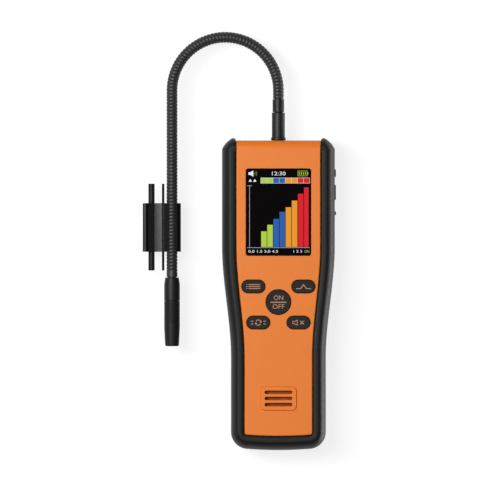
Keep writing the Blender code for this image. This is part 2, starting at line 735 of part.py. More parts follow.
def front_cover():
    """The orange cover: a plate with a skirt, a flange under the rim and a wall at the top."""
    edge = [(PANEL_INSET + FACE_EDGE_ROUND * (1 - math.cos(a)),
             FACE_Z - FACE_EDGE_ROUND * (1 - math.sin(a)))
            for a in (math.radians(90 * i / 3) for i in range(4))]
    shape = bmesh.new()
    add_loft(shape, [flat(panel_outline(PANEL_INSET), FLANGE_BOTTOM)]
             + [flat(panel_outline(inset), z) for inset, z in edge])
    cover = piece("front_cover", shape, ORANGE)
    join(cover, "cover_flange", add_prism(
        bmesh.new(), panel_outline(PANEL_INSET - FLANGE_LAP - GAP, BODY_TOP - FLANGE_END_DROP - GAP),
        FLANGE_BOTTOM, FLANGE_TOP))
    head_half = half_width(WAIST_TOP, PANEL_INSET)
    join(cover, "front_top_wall", add_box(
        bmesh.new(), (-head_half, CAVITY_TOP_Y, NECK_Z + GAP / 2),
        (head_half, BODY_TOP, FACE_Z - FACE_EDGE_ROUND)))
    cut(cover, "cover_cavity", add_prism(
        bmesh.new(), panel_outline(CAVITY_INSET, CAVITY_TOP_Y), FLANGE_BOTTOM - PAST, FACE_UNDER))
    crown = arc(BODY_TOP - TOP_ROUND, FACE_Z - TOP_ROUND, TOP_ROUND, 0, 90, 6)
    outside = [(BODY_TOP - TOP_ROUND, FACE_Z + PAST), (BODY_TOP + PAST, FACE_Z + PAST),
               (BODY_TOP + PAST, FACE_Z - TOP_ROUND)]
    cut(cover, "top_round", add_loft(bmesh.new(), [
        sideways(crown + outside, -head_half - PAST), sideways(crown + outside, head_half + PAST)]))
    join(cover, "bosses", cover_bosses())
    pad = rounded_rectangle(GRILLE_WIDTH, GRILLE_HEIGHT, GRILLE_RADIUS, 0.0, GRILLE_Y, 4)
    pad_top = rounded_rectangle(GRILLE_WIDTH - 2 * GRILLE_SLOPE, GRILLE_HEIGHT - 2 * GRILLE_SLOPE,
                                GRILLE_RADIUS - GRILLE_SLOPE, 0.0, GRILLE_Y, 4)
    join(cover, "grille_pad", add_loft(bmesh.new(), [
        flat(pad, FACE_Z - FACE_WALL / 2), flat(pad, FACE_Z + GRILLE_PROUD / 3),
        flat(pad_top, FACE_Z + GRILLE_PROUD)]))
    cut(cover, "face_openings", face_openings())
    cut(cover, "pilot_holes", pilot_holes())
    cut(cover, "front_neck_seat", neck_seat())
    return cover


def cover_bosses():
    """Screw bosses and the ring that the speaker sits in."""
    shape = bmesh.new()
    ceiling = FACE_Z - FACE_WALL / 2
    for x, y in both_sides(SCREW_PLACES):
        add_cylinder(shape, BOSS_WIDTH, boss_foot(y), ceiling, x, y, TURNED_SIDES)
    inner = circle(SPEAKER_WIDTH + 2 * GAP, 0.0, GRILLE_Y, 20)
    outer = circle(SPEAKER_WIDTH + 2 * (GAP + SPEAKER_RING_WALL), 0.0, GRILLE_Y, 20)
    foot = FACE_UNDER - SPEAKER_RING_DEPTH
    add_loft(shape, [flat(outer, foot), flat(outer, ceiling), flat(inner, ceiling), flat(inner, foot)],
             closed=True)
    return shape


def pilot_holes():
    shape = bmesh.new()
    tip = RECESS_DEPTH - GAP + SCREW_LENGTH
    for x, y in both_sides(SCREW_PLACES):
        add_cylinder(shape, SHANK_WIDTH + 2 * GAP, boss_foot(y) - PAST, tip + GAP, x, y)
    return shape


def face_openings():
    """The display's opening, a stepped opening for each key and the slots of the grille."""
    shape = bmesh.new()
    above = FACE_Z + PAST
    add_prism(shape, rounded_rectangle(WINDOW_WIDTH + 2 * GAP, WINDOW_HEIGHT + 2 * GAP,
                                       WINDOW_RADIUS + GAP, 0.0, WINDOW_Y), FACE_UNDER - PAST, above)
    for _, x, y, width, height in key_layout():
        lap = 2 * (KEY_LAP + GAP)
        wide = obround(width + lap, height + lap, x, y)
        narrow = obround(width + 2 * GAP, height + 2 * GAP, x, y)
        add_loft(shape, [flat(wide, FLANGE_BOTTOM - PAST), flat(wide, FACE_UNDER),
                         flat(narrow, FACE_UNDER), flat(narrow, above)])
    for i in range(SLOT_COUNT):
        y = GRILLE_Y + SLOT_PITCH * (i - (SLOT_COUNT - 1) / 2)
        add_prism(shape, obround(SLOT_WIDTH, SLOT_HEIGHT, 0.0, y, 6), FACE_UNDER - PAST, above)
    return shape


def display():
    """The window with its hidden flange, and the display module behind it."""
    front = FACE_Z - WINDOW_SINK
    lap_top = FACE_UNDER - GAP
    lap_bottom = lap_top - WINDOW_FLANGE
    face = rounded_rectangle(WINDOW_WIDTH, WINDOW_HEIGHT, WINDOW_RADIUS, 0.0, WINDOW_Y)
    flange = rounded_rectangle(WINDOW_WIDTH + 2 * WINDOW_LAP, WINDOW_HEIGHT + 2 * WINDOW_LAP,
                               WINDOW_RADIUS, 0.0, WINDOW_Y)
    shape = add_loft(bmesh.new(), [flat(flange, lap_bottom), flat(flange, lap_top),
                                   flat(face, lap_top), flat(face, front)])
    piece("display_window", shape, WINDOW)
    case = rounded_rectangle(WINDOW_WIDTH + 2 * MODULE_SIDE_LAP, WINDOW_HEIGHT + 2 * MODULE_END_LAP,
                             MODULE_RADIUS, 0.0, WINDOW_Y)
    glass = rounded_rectangle(WINDOW_WIDTH + 2 * GLASS_SIDE_LAP, WINDOW_HEIGHT + 2 * GLASS_END_LAP,
                              MODULE_RADIUS, 0.0, WINDOW_Y)
    top = lap_bottom - GAP
    step = top - GLASS_THICKNESS
    shape = add_loft(bmesh.new(), [flat(case, ON_BOARD), flat(case, step),
                                   flat(glass, step), flat(glass, top)])
    piece("display_module", shape, SHELL)


def key(name, x, y, width, height):
    """A key cap with the flange that keeps it in and the plunger that reaches its dome."""
    flange_top = FACE_UNDER - GAP
    flange_bottom = flange_top - KEY_FLANGE
    foot = ON_BOARD + MAT_THICKNESS + DOME_HEIGHT + KEY_TRAVEL + GAP / 2
    top = FACE_Z + KEY_PROUD
    sizes = [
        (PLUNGER_WIDTH - width, PLUNGER_WIDTH - height, foot),
        (PLUNGER_WIDTH - width, PLUNGER_WIDTH - height, flange_bottom),
        (2 * KEY_LAP, 2 * KEY_LAP, flange_bottom),
        (2 * KEY_LAP, 2 * KEY_LAP, flange_top),
        (0.0, 0.0, flange_top),
        (0.0, 0.0, top - KEY_EDGE),
        (-0.6 * KEY_EDGE, -0.6 * KEY_EDGE, top - 0.3 * KEY_EDGE),
        (-2 * KEY_EDGE, -2 * KEY_EDGE, top),
    ]
    shape = add_loft(bmesh.new(), [
        flat(obround(width + wider, height + higher), z - FACE_Z) for wider, higher, z in sizes])
    return piece(name, shape, KEY_RUBBER, (x, y, FACE_Z))


def keypad_mat():
    """The silicone sheet with one dome under each key."""
    lows = [y - height / 2 for _, _, y, _, height in key_layout()]
    highs = [y + height / 2 for _, _, y, _, height in key_layout()]
    low = min(lows) - MAT_MARGIN
    high = max(highs) + MAT_MARGIN
    sheet = rounded_rectangle(MAT_WIDTH, high - low, MAT_MARGIN, 0.0, (low + high) / 2)
    top = ON_BOARD + MAT_THICKNESS
    mat = piece("keypad_mat", add_prism(bmesh.new(), sheet, ON_BOARD, top), SILICONE)
    domes = bmesh.new()
    for _, x, y, _, _ in key_layout():
        base = circle(DOME_WIDTH, x, y, SMALL_SIDES)
        crown = circle(DOME_WIDTH / 2, x, y, SMALL_SIDES)
        add_loft(domes, [flat(base, top - MAT_THICKNESS / 2), flat(base, top + DOME_HEIGHT / 3),
                         flat(crown, top + DOME_HEIGHT)])
    join(mat, "domes", domes)


def main_board():
    """The circuit board, clamped between the posts of one cover and the bosses of the other."""
    half_head = half_width(WAIST_TOP, BOARD_INSET)
    shape = add_prism(bmesh.new(), shell_outline(BOARD_INSET), BOARD_Z, BOARD_FRONT)
    board = piece("main_board", shape, BOARD)
    ends = add_box(bmesh.new(), (-half_head - PAST, -BODY_LENGTH, BOARD_Z - PAST),
                   (half_head + PAST, BOARD_BOTTOM, BOARD_FRONT + PAST))
    add_box(ends, (-half_head - PAST, BOARD_TOP, BOARD_Z - PAST),
            (half_head + PAST, BODY_LENGTH, BOARD_FRONT + PAST))
    cut(board, "board_ends", ends)
    holes = bmesh.new()
    for x, y in both_sides(SCREW_PLACES[:2]):
        add_cylinder(holes, SHANK_WIDTH + 2 * GAP, BOARD_Z - PAST, BOARD_FRONT + PAST, x, y)
    cut(board, "board_holes", holes)


def speaker():
    rim = SPEAKER_WIDTH / 2
    top = FACE_UNDER - GAP
    depth = SPEAKER_DEPTH
    magnet = MAGNET_WIDTH / 2
    profile = [(0.0, -CONE_DEPTH), (rim * DUST_CAP_SHARE, -DUST_CAP_DEPTH),
               (rim * CONE_EDGE_SHARE, -CONE_EDGE_DEPTH), (rim - SPEAKER_RIM, 0.0), (rim, 0.0),
               (rim, -BASKET_EDGE_SHARE * depth), (magnet + BASKET_MARGIN, -BASKET_FOOT_SHARE * depth),
               (magnet, -BASKET_FOOT_SHARE * depth), (magnet, -depth), (0.0, -depth)]
    turned("speaker", profile, SHELL, (0.0, GRILLE_Y, top), (0.0, 0.0, 0.0))


def battery_pack():
    """A wrapped flat pack between its two ribs."""
    edge = BATTERY_CHAMFER
    small = rounded_rectangle(BATTERY_WIDTH - 2 * edge, BATTERY_LENGTH - 2 * edge,
                              BATTERY_RADIUS - edge, 0.0, BATTERY_Y)
    full = rounded_rectangle(BATTERY_WIDTH, BATTERY_LENGTH, BATTERY_RADIUS, 0.0, BATTERY_Y)
    top = ON_FLOOR + BATTERY_DEPTH
    piece("battery_pack", add_loft(bmesh.new(), [
        flat(small, ON_FLOOR), flat(full, ON_FLOOR + edge), flat(full, top - edge),
        flat(small, top)]), FOIL)


def gas_cell():
    """The sensing chamber, with an inlet nipple at its upper end and an outlet at its lower end."""
    middle = (CELL_TOP + CELL_BOTTOM) / 2
    step = CELL_LID_STEP
    body = rounded_rectangle(CELL_WIDTH, CELL_LENGTH, CELL_RADIUS, 0.0, middle)
    lid = rounded_rectangle(CELL_WIDTH - 2 * step, CELL_LENGTH - 2 * step, CELL_RADIUS, 0.0, middle)
    top = ON_FLOOR + CELL_DEPTH
    cell = piece("gas_cell", add_loft(bmesh.new(), [
        flat(body, ON_FLOOR), flat(body, top - step), flat(lid, top - step), flat(lid, top)]), STEEL)
    nipples = add_bar(bmesh.new(), NIPPLE_WIDTH, CELL_TOP - PAST, CELL_TOP + NIPPLE_LENGTH,
                      0.0, HIGH_NIPPLE_Z, SMALL_SIDES)
    add_bar(nipples, NIPPLE_WIDTH, CELL_BOTTOM - NIPPLE_LENGTH, CELL_BOTTOM + PAST,
            0.0, LOW_NIPPLE_Z, SMALL_SIDES)
    join(cell, "cell_nipples", nipples)


def air_pump():
    """A small diaphragm pump: a square head with its nipple and a round motor behind it."""
    left = PUMP_X - PUMP_WIDTH / 2
    right = PUMP_X + PUMP_WIDTH / 2
    top = ON_FLOOR + PUMP_DEPTH
    shape = add_box(bmesh.new(), (left, PUMP_BOTTOM, ON_FLOOR),
                    (right, PUMP_BOTTOM + PUMP_HEAD_LENGTH, top))
    pump = piece("air_pump", shape, SHELL)
    motor = add_bar(bmesh.new(), PUMP_WIDTH - MOTOR_STEP, PUMP_BOTTOM + PUMP_HEAD_LENGTH - PAST, PUMP_TOP,
                    PUMP_X, ON_FLOOR + PUMP_WIDTH / 2)
    join(pump, "pump_motor", motor)
    nipple = add_bar(bmesh.new(), NIPPLE_WIDTH, PUMP_BOTTOM - NIPPLE_LENGTH, PUMP_BOTTOM + PAST,
                     PUMP_X, LOW_NIPPLE_Z, SMALL_SIDES)
    join(pump, "pump_nipple", nipple)


def hoses():
    """Air runs from the gooseneck to the gas cell and from there to the pump."""
    hose("sample_hose", (0.0, THREAD_END_Y - GAP, NECK_Z), (0.0, -HOSE_BEND, 0.0),
         (0.0, HOSE_BEND, 0.0), (0.0, CELL_TOP + NIPPLE_LENGTH + GAP, HIGH_NIPPLE_Z), SILICONE)
    low = CELL_BOTTOM - NIPPLE_LENGTH - GAP
    hose("pump_hose", (0.0, low, LOW_NIPPLE_Z), (0.0, -HOSE_BEND, 0.0), (0.0, -PUMP_HOSE_BEND, 0.0),
         (PUMP_X, PUMP_BOTTOM - NIPPLE_LENGTH - GAP, LOW_NIPPLE_Z), SILICONE)


def side_ports():
    """The two sockets and the switch that hang under the board behind the right-hand wall."""
    outer = SIDE_X - FRAME_WALL - PORT_STANDOFF
    inner = outer - PORT_DEPTH
    for name, y, _ in PORT_FLAPS:
        if name == "usb_cover":
            case = (USB_WIDTH + 2 * USB_WALL, USB_HEIGHT + 2 * USB_WALL)
            mouth = obround(USB_WIDTH, USB_HEIGHT, y, PORT_Z)
            made, finish = "usb_port", STEEL
        else:
            case = (JACK_BODY, JACK_BODY)
            mouth = circle(JACK_WIDTH, y, PORT_Z)
            made, finish = "earphone_jack", SHELL
        shape = add_box(bmesh.new(), (inner, y - case[0] / 2, PORT_Z - case[1] / 2),
                        (outer, y + case[0] / 2, UNDER_BOARD))
        port = piece(made, shape, finish)
        cut(port, made + "_mouth", add_loft(bmesh.new(), [
            sideways(mouth, inner + PORT_END_WALL), sideways(mouth, outer + PAST)]))
    reach = SIDE_X - FRAME_WALL - GAP - BUTTON_FLANGE - BUTTON_TRAVEL - GAP / 2
    piece("side_switch", add_box(
        bmesh.new(), (reach - SWITCH_DEPTH, BUTTON_Y - SWITCH_SIZE / 2, PORT_Z - SWITCH_SIZE / 2),
        (reach, BUTTON_Y + SWITCH_SIZE / 2, UNDER_BOARD)), SHELL)


def port_flap(name, y, length):
    """A rubber flap in its recess, hinged along its lower edge."""
    base = rounded_rectangle(length, FLAP_HEIGHT, FLAP_RADIUS, length / 2, 0.0)
    face = rounded_rectangle(length - 2 * FLAP_EDGE, FLAP_HEIGHT - 2 * FLAP_EDGE,
                             FLAP_RADIUS - FLAP_EDGE, length / 2, 0.0)
    hinge = (SIDE_X + GAP / 2, y - length / 2, PORT_Z)
    back = -FLAP_SINK - GAP / 2
    front = FLAP_PROUD - GAP / 2
    shape = add_loft(bmesh.new(), [
        sideways(base, back), sideways(base, front - FLAP_EDGE), sideways(face, front)])
    return piece(name, shape, GRIP, hinge)


def side_button():
    """A small push-button with a flange behind the wall, drawn about its own axis along X."""
    back = -FRAME_WALL - GAP - BUTTON_FLANGE
    profile = [(0.0, BUTTON_PROUD), (BUTTON_WIDTH / 2 - EDGE_BREAK, BUTTON_PROUD),
               (BUTTON_WIDTH / 2, BUTTON_PROUD - EDGE_BREAK), (BUTTON_WIDTH / 2, -FRAME_WALL - GAP),
               (BUTTON_WIDTH / 2 + BUTTON_LAP, -FRAME_WALL - GAP),
               (BUTTON_WIDTH / 2 + BUTTON_LAP, back), (0.0, back)]
    turned("side_button", profile, GRIP, (SIDE_X, BUTTON_Y, PORT_Z), (0.0, math.pi / 2, 0.0),
           sides=SMALL_SIDES)


def case_screws():
    """Six screws in deep recesses in the back, each with a square drive."""
    seat = RECESS_DEPTH - GAP
    for i, (x, y) in enumerate(both_sides(SCREW_PLACES), 1):
        head = SCREW_HEAD_WIDTH / 2
        shank = SHANK_WIDTH / 2
        profile = [(0.0, SCREW_LENGTH), (shank / 2, SCREW_LENGTH), (shank, SCREW_LENGTH - shank),
                   (shank, 0.0), (head, 0.0), (head, -HEAD_HEIGHT + EDGE_BREAK),
                   (head - EDGE_BREAK, -HEAD_HEIGHT), (0.0, -HEAD_HEIGHT)]
        screw = turned(f"case_screw_{i}", profile, STEEL, (x, y, seat), (0.0, 0.0, 0.0), sides=SMALL_SIDES)
        drive = DRIVE_WIDTH / 2
        foot = seat - HEAD_HEIGHT
        cut(screw, f"screw_drive_{i}", add_box(
            bmesh.new(), (x - drive, y - drive, foot - PAST), (x + drive, y + drive, foot + DRIVE_DEPTH)))


def neck_gland():
    """The threaded gland whose long sleeve holds the ferrule, and its nut inside the case."""
    thread = THREAD_WIDTH / 2
    collar = COLLAR_WIDTH / 2
    sleeve = SLEEVE_WIDTH / 2
    socket = SPIGOT_WIDTH / 2 + GAP
    bore = AIR_BORE / 2
    top = COLLAR_LENGTH + SLEEVE_LENGTH
    floor = top - SPIGOT_LENGTH - GAP
    profile = [
        (socket, top), (sleeve - EDGE_BREAK, top), (sleeve, top - EDGE_BREAK),
        (sleeve, COLLAR_LENGTH), (collar - EDGE_BREAK, COLLAR_LENGTH),
        (collar, COLLAR_LENGTH - EDGE_BREAK), (collar, 0.0), (thread, 0.0),
        (thread, -THREAD_LENGTH), (bore, -THREAD_LENGTH), (bore, floor), (socket, floor),
    ]
    turned("neck_gland", profile, PROBE_BLACK, (0.0, GLAND_Y, NECK_Z), ring=True)
    nut_end = CAVITY_TOP_Y - GAP
    radius = NUT_ACROSS / math.sqrt(3)
    hexagon = [(x, NECK_Z + z) for x, z in circle(2 * radius, count=6)]
    nut = piece("gland_nut", add_loft(bmesh.new(), [
        [(x, y, z) for x, z in hexagon] for y in (nut_end - NUT_LENGTH, nut_end)]), BRASS)
    cut(nut, "nut_bore", add_bar(bmesh.new(), THREAD_WIDTH + 2 * GAP, nut_end - NUT_LENGTH - PAST,
                                 nut_end + PAST, 0.0, NECK_Z))


def neck_ferrule():
    """A spigot in the gland below, and a socket for the gooseneck above."""
    outer = FERRULE_WIDTH / 2
    spigot = SPIGOT_WIDTH / 2
    socket = spigot + GAP
    bore = AIR_BORE / 2
    shelf = FERRULE_LENGTH - SPIGOT_LENGTH - GAP
    profile = [
        (socket, FERRULE_LENGTH), (outer - EDGE_BREAK, FERRULE_LENGTH),
        (outer, FERRULE_LENGTH - EDGE_BREAK), (outer, 0.0), (spigot, 0.0),
        (spigot, -SPIGOT_LENGTH), (bore, -SPIGOT_LENGTH), (bore, shelf), (socket, shelf),
    ]
    turned("neck_ferrule", profile, PROBE_BLACK, (0.0, SLEEVE_END_Y + GAP, NECK_Z), ring=True)


def neck_course(run):
    """Place and direction on the gooseneck's centreline, a run from the ferrule's end."""
    rise = ARCH_Y - NECK_START_Y
    if run <= rise:
        return Vector((0.0, NECK_START_Y + run, NECK_Z)), Vector((0.0, 1.0, 0.0))
    angle = (run - rise) / ARCH_RADIUS
    if angle < math.pi:
        place = Vector((ARCH_RADIUS * (math.cos(angle) - 1), ARCH_Y + ARCH_RADIUS * math.sin(angle), NECK_Z))
        return place, Vector((-math.sin(angle), math.cos(angle), 0.0))
    fall = run - rise - math.pi * ARCH_RADIUS
    return Vector((NECK_X, ARCH_Y - fall, NECK_Z)), Vector((0.0, -1.0, 0.0))


def gooseneck():
    """A ridged flexible arm, swept along its arch ring by ring, with a spigot at each end."""
    length = (ARCH_Y - NECK_START_Y) + math.pi * ARCH_RADIUS + (ARCH_Y - NECK_END_Y)
    ridges = round(length / RIDGE_PITCH)
    crest = NECK_WIDTH / 2
    spigot = SPIGOT_WIDTH / 2
    stations = [(-SPIGOT_LENGTH, spigot), (GAP, spigot)]
    for i in range(2 * ridges + 1):
        stations.append((GAP + (length - GAP) * i / (2 * ridges), crest if i % 2 else crest - GROOVE_DEPTH))
    end = length + NECK_COLLAR
    stations += [(length, crest), (end, crest), (end, spigot), (end + SPIGOT_LENGTH, spigot)]
    rings = []
    for run, radius in stations:
        place, ahead = neck_course(run)
        across = ahead.cross(Vector((0.0, 0.0, 1.0)))
        rings.append([place + radius * (across * math.cos(a) + Vector((0.0, 0.0, math.sin(a))))
                      for a in (2 * math.pi * (i + 0.5) / NECK_SIDES for i in range(NECK_SIDES))])
    return piece("gooseneck", add_loft(bmesh.new(), rings), NECK_BLACK)


def clip_outline():
    """The clip's section in X and Z about the gooseneck's axis: two arms that close over the
    gooseneck, a rounded bulge, a valley over the tube and a lobe at the far edge."""
    channel = NECK_WIDTH / 2 + GAP
    mouth = MOUTH_WIDTH / 2
    opening = math.degrees(math.acos(mouth / channel))
    reach = CLIP_RIGHT - mouth
    arm = [(mouth + reach * math.cos(a), ARM_HEIGHT * math.sin(a))
           for a in (math.radians(90 * i / 5) for i in range(6))]
    lobe_x = CLIP_LEFT + LOBE_RADIUS
    lobe_z = VALLEY_Z - GAP
    return [
        *arc(CLIP_RIGHT - CLIP_CORNER / 2, CLIP_BACK + CLIP_CORNER / 2, CLIP_CORNER / 2, -90, 0),
        *arm,
        *arc(0.0, 0.0, channel, opening, -180 - opening, 14),
        *[(-x, z) for x, z in reversed(arm) if z > LIP_Z],
        (-CLIP_RIGHT, LIP_Z),
        *arc(BULGE_X, LIP_Z + EDGE_BREAK, BULGE_RADIUS, BULGE_EDGE_ANGLE, 180 - BULGE_EDGE_ANGLE, 7),
        *arc(lobe_x, lobe_z, LOBE_RADIUS, LOBE_START_ANGLE, 180, 5),
        *arc(CLIP_LEFT + CLIP_CORNER, CLIP_BACK + CLIP_CORNER, CLIP_CORNER, 180, 270),
    ]


def clip():
    """The moulded clip with its tube and its pin, drawn downwards from its upper end."""
    shape = add_prism(bmesh.new(), clip_outline(), 0.0, CLIP_LENGTH)
    block = piece("clip_block", shape, SHELL, (NECK_X, CLIP_TOP, NECK_Z), AGAINST_Y)
    holes = bmesh.new()
    for x, width in ((TUBE_X, TUBE_WIDTH), (PIN_X, PIN_WIDTH)):
        add_cylinder(holes, width + 2 * GAP, -PAST, CLIP_LENGTH + PAST, x, ROD_Z)
    cut(block, "clip_holes", holes, (NECK_X, CLIP_TOP, NECK_Z), AGAINST_Y)
    outer = TUBE_WIDTH / 2
    inner = outer - TUBE_WALL
    tube = turned("clip_tube", [(outer, 0.0), (outer, -ROD_LENGTH), (inner, -ROD_LENGTH), (inner, 0.0)],
                  CHROME, (NECK_X + TUBE_X, ROD_TOP, NECK_Z + ROD_Z), ring=True, sides=SMALL_SIDES)
    rod = PIN_WIDTH / 2
    pin = turned("clip_pin", [(0.0, 0.0), (rod, 0.0), (rod, -ROD_LENGTH), (0.0, -ROD_LENGTH)],
                 GRIP, (NECK_X + PIN_X, ROD_TOP, NECK_Z + ROD_Z), sides=SMALL_SIDES)
    return block, tube, pin


def probe_holder():
    """The handle of the probe: a socket for the gooseneck, and a stem inside the cap."""
    socket = SPIGOT_WIDTH / 2 + GAP
    outer = PROBE_WIDTH / 2
    stem = STEM_WIDTH / 2
    groove = stem - SEAL_GROOVE_DEPTH
    bore = AIR_BORE / 2
    shelf = -SPIGOT_LENGTH - GAP
    foot = -HOLDER_LENGTH
    tip = foot - STEM_LENGTH
    groove_top = foot - SEAL_REACH
    groove_foot = groove_top - SEAL_THICKNESS - 2 * GAP
    profile = [
        (socket, 0.0), (PROBE_NECK_WIDTH / 2, 0.0), (outer, -PROBE_TAPER), (outer, foot),
        (stem, foot), (stem, groove_top), (groove, groove_top), (groove, groove_foot),
        (stem, groove_foot), (stem, tip), (bore, tip), (bore, shelf), (socket, shelf),
    ]
    return turned("probe_holder", profile, PROBE_BLACK, (NECK_X, PROBE_TOP_Y, NECK_Z), ring=True)


def probe_seal():
    """The sealing ring in the stem's groove."""
    inner = STEM_WIDTH / 2 - SEAL_GROOVE_DEPTH + GAP / 2
    y = PROBE_TOP_Y - HOLDER_LENGTH - SEAL_REACH - GAP - SEAL_THICKNESS / 2
    half = SEAL_THICKNESS / 2
    profile = arc(inner + half, 0.0, half, 90, -225, 7)
    return turned("probe_seal", profile, GRIP, (NECK_X, y, NECK_Z), ring=True)


def probe_filter():
    """The felt filter below the stem."""
    radius = FILTER_WIDTH / 2
    y = PROBE_TOP_Y - HOLDER_LENGTH - STEM_LENGTH - GAP
    profile = [(0.0, 0.0), (radius, 0.0), (radius, -FILTER_LENGTH), (0.0, -FILTER_LENGTH)]
    return turned("probe_filter", profile, FELT, (NECK_X, y, NECK_Z), sides=SMALL_SIDES)


def probe_cap():
    """The screw-on cap with grip rings, tapered to a rounded end with the air inlet."""
    outer = PROBE_WIDTH / 2
    tip = CAP_TIP_WIDTH / 2
    wide = STEM_WIDTH / 2 + GAP
    narrow = tip - CAP_WALL
    inlet = INLET_WIDTH / 2
    straight = -CAP_STRAIGHT
    end = -CAP_LENGTH
    rings = []
    for i in range(GRIP_RINGS):
        top = -GRIP_RING_PITCH * (i + 1)
        rings += [(outer, top), (outer - GRIP_RING_DEPTH, top - GRIP_RING_DEPTH),
                  (outer, top - 2 * GRIP_RING_DEPTH)]
    cavity_end = end + CAP_END_WALL
    nose = [(tip - CAP_TIP_ROUND + CAP_TIP_ROUND * math.cos(a), end + CAP_TIP_ROUND * (1 - math.sin(a)))
            for a in (math.radians(90 * i / 4) for i in range(5))]
    profile = [
        (wide, 0.0), (outer - EDGE_BREAK, 0.0), (outer, -EDGE_BREAK), *rings, (outer, straight),
        *nose, (inlet, end), (inlet, cavity_end), (narrow, cavity_end),
        (narrow, straight - PAST), (wide, straight + PAST / 2),
    ]
    return turned("probe_cap", profile, PROBE_BLACK, (NECK_X, CAP_TOP_Y, NECK_Z), ring=True)


def build():
    rear_cover()
    grip_frame()
    front_cover()
    display()
    for entry in key_layout():
        key(*entry)
    keypad_mat()
    main_board()
    speaker()
    battery_pack()
    gas_cell()
    air_pump()
    hoses()
    side_ports()
    for entry in PORT_FLAPS:
        port_flap(*entry)
    side_button()
    case_screws()
    neck_gland()
    neck_ferrule()
    joint_frame("neck_bend", (0.0, NECK_START_Y, NECK_Z), gooseneck())
    joint_frame("clip_slide", (NECK_X, CLIP_TOP, NECK_Z), *clip())
    joint_frame("probe_bend", (NECK_X, PROBE_TOP_Y, NECK_Z), probe_holder(), probe_seal(), probe_filter())
    probe_cap()


build()
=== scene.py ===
"""The looks of a refrigerant leak detector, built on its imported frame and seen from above.

Each piece that shows is made again here at a finer resolution, from the same sizes as the
part's source. X runs across the body, Y along it towards the gooseneck, and Z out of its
face. Shapes are in millimetres, and each mesh is scaled to metres as it is made.
"""

from math import acos, asin, cos, degrees, pi, radians, sin

import bmesh
import bpy
from mathutils import Matrix, Vector


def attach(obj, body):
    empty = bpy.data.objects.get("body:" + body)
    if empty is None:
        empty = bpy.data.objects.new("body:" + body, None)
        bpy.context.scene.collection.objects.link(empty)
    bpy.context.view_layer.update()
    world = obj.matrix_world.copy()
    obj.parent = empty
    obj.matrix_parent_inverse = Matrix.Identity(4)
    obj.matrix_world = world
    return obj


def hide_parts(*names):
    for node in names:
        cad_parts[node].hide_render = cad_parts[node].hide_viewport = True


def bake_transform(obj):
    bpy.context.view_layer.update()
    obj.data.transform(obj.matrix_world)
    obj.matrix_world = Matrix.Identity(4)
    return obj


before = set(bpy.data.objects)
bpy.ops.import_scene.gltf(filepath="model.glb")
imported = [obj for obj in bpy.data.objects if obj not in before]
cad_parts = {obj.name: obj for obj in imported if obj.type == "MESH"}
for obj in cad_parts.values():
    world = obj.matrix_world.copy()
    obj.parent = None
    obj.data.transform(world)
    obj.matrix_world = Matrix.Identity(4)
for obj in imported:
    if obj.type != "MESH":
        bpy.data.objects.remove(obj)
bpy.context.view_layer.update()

MM = 0.001
GAP = 0.3  # clearance between pieces that seat on each other
PAST = 2.0  # how far a cutter runs past the wall that it cuts

# Plan of the body
BODY_LENGTH = 204.7
BODY_TOP = BODY_LENGTH / 2
HEAD_WIDTH = 74.6
GRIP_WIDTH = 62.7
WAIST_TOP = 32.6
WAIST_BOTTOM = -41.3
FOOT_RADIUS = 11.2
BOTTOM_CROWN = 0.8
HORN_DROP = 7.25
HORN_START_ANGLE = 25.0
HORN_RADIUS = 16.0
HORN_TIP_RADIUS = 1.6
LEAST_RADIUS = 1.5

# Rear cover
REAR_DEPTH = 9.7
BACK_ROUND_WIDTH = 5.0
BACK_ROUND_DEPTH = 7.0
REAR_WALL = 4.2
REAR_FLOOR = 2.2
FLOOR_FILLET = 2.2
LIP_WALL = 1.5
LIP_HEIGHT = 3.0
SEAM_ROUND = 0.35

# Grip frame
FRAME_WALL = 2.4
FRAME_BOTTOM = 10.0
FRAME_SIDE_TOP = 24.0
CREST_INSET = 6.0
CREST_Z = 35.6
RIM_WIDTH = 9.2
GRIP_RIM_SHARE = 0.94
RIM_DROP = 1.5
RIM_SQUARENESS = 3.2
RIM_EDGE_Z = 34.1
RIM_FOOT_Z = 31.0
RIM_UNDERCUT = 2.7
HORN_RISE = 1.6
LIP_INSET = FRAME_WALL + GAP

# Front cover
FACE_Z = 34.6
FACE_UNDER = 32.4
FACE_EDGE_ROUND = 0.8
PANEL_INSET = 9.5
HEAD_HALF = HEAD_WIDTH / 2 - PANEL_INSET
CAVITY_INSET = 11.5
FLANGE_TOP = 30.7
FLANGE_BOTTOM = 28.9
FLANGE_LAP = 2.4
FLANGE_END_DROP = 14.35
TOP_ROUND = 5.0
CAVITY_TOP_Y = 98.15
EDGE_BREAK = 0.4
OPENING_LIP = 0.25
SLOT_LIP = 0.15
LIP_ANGLE = 80.0
LIP_FLARE = 1.1

# Window and the lit screen behind it
WINDOW_WIDTH = 42.6
WINDOW_HEIGHT = 57.0
WINDOW_Y = 55.0
WINDOW_RADIUS = 1.4
WINDOW_FRONT = 34.3
WINDOW_LAP = 2.5
WINDOW_LAP_TOP = 32.1
WINDOW_LAP_BOTTOM = 30.9
WINDOW_EDGE = 0.2
WINDOW_PLAN = (WINDOW_WIDTH, WINDOW_HEIGHT, WINDOW_RADIUS, 0.0, WINDOW_Y)
SCREEN_X = -WINDOW_WIDTH / 2
SCREEN_Y = WINDOW_Y - WINDOW_HEIGHT / 2
SCREEN_RISE = 0.01
SCREEN_LEVELS = (WINDOW_FRONT - SCREEN_RISE, WINDOW_FRONT + SCREEN_RISE)

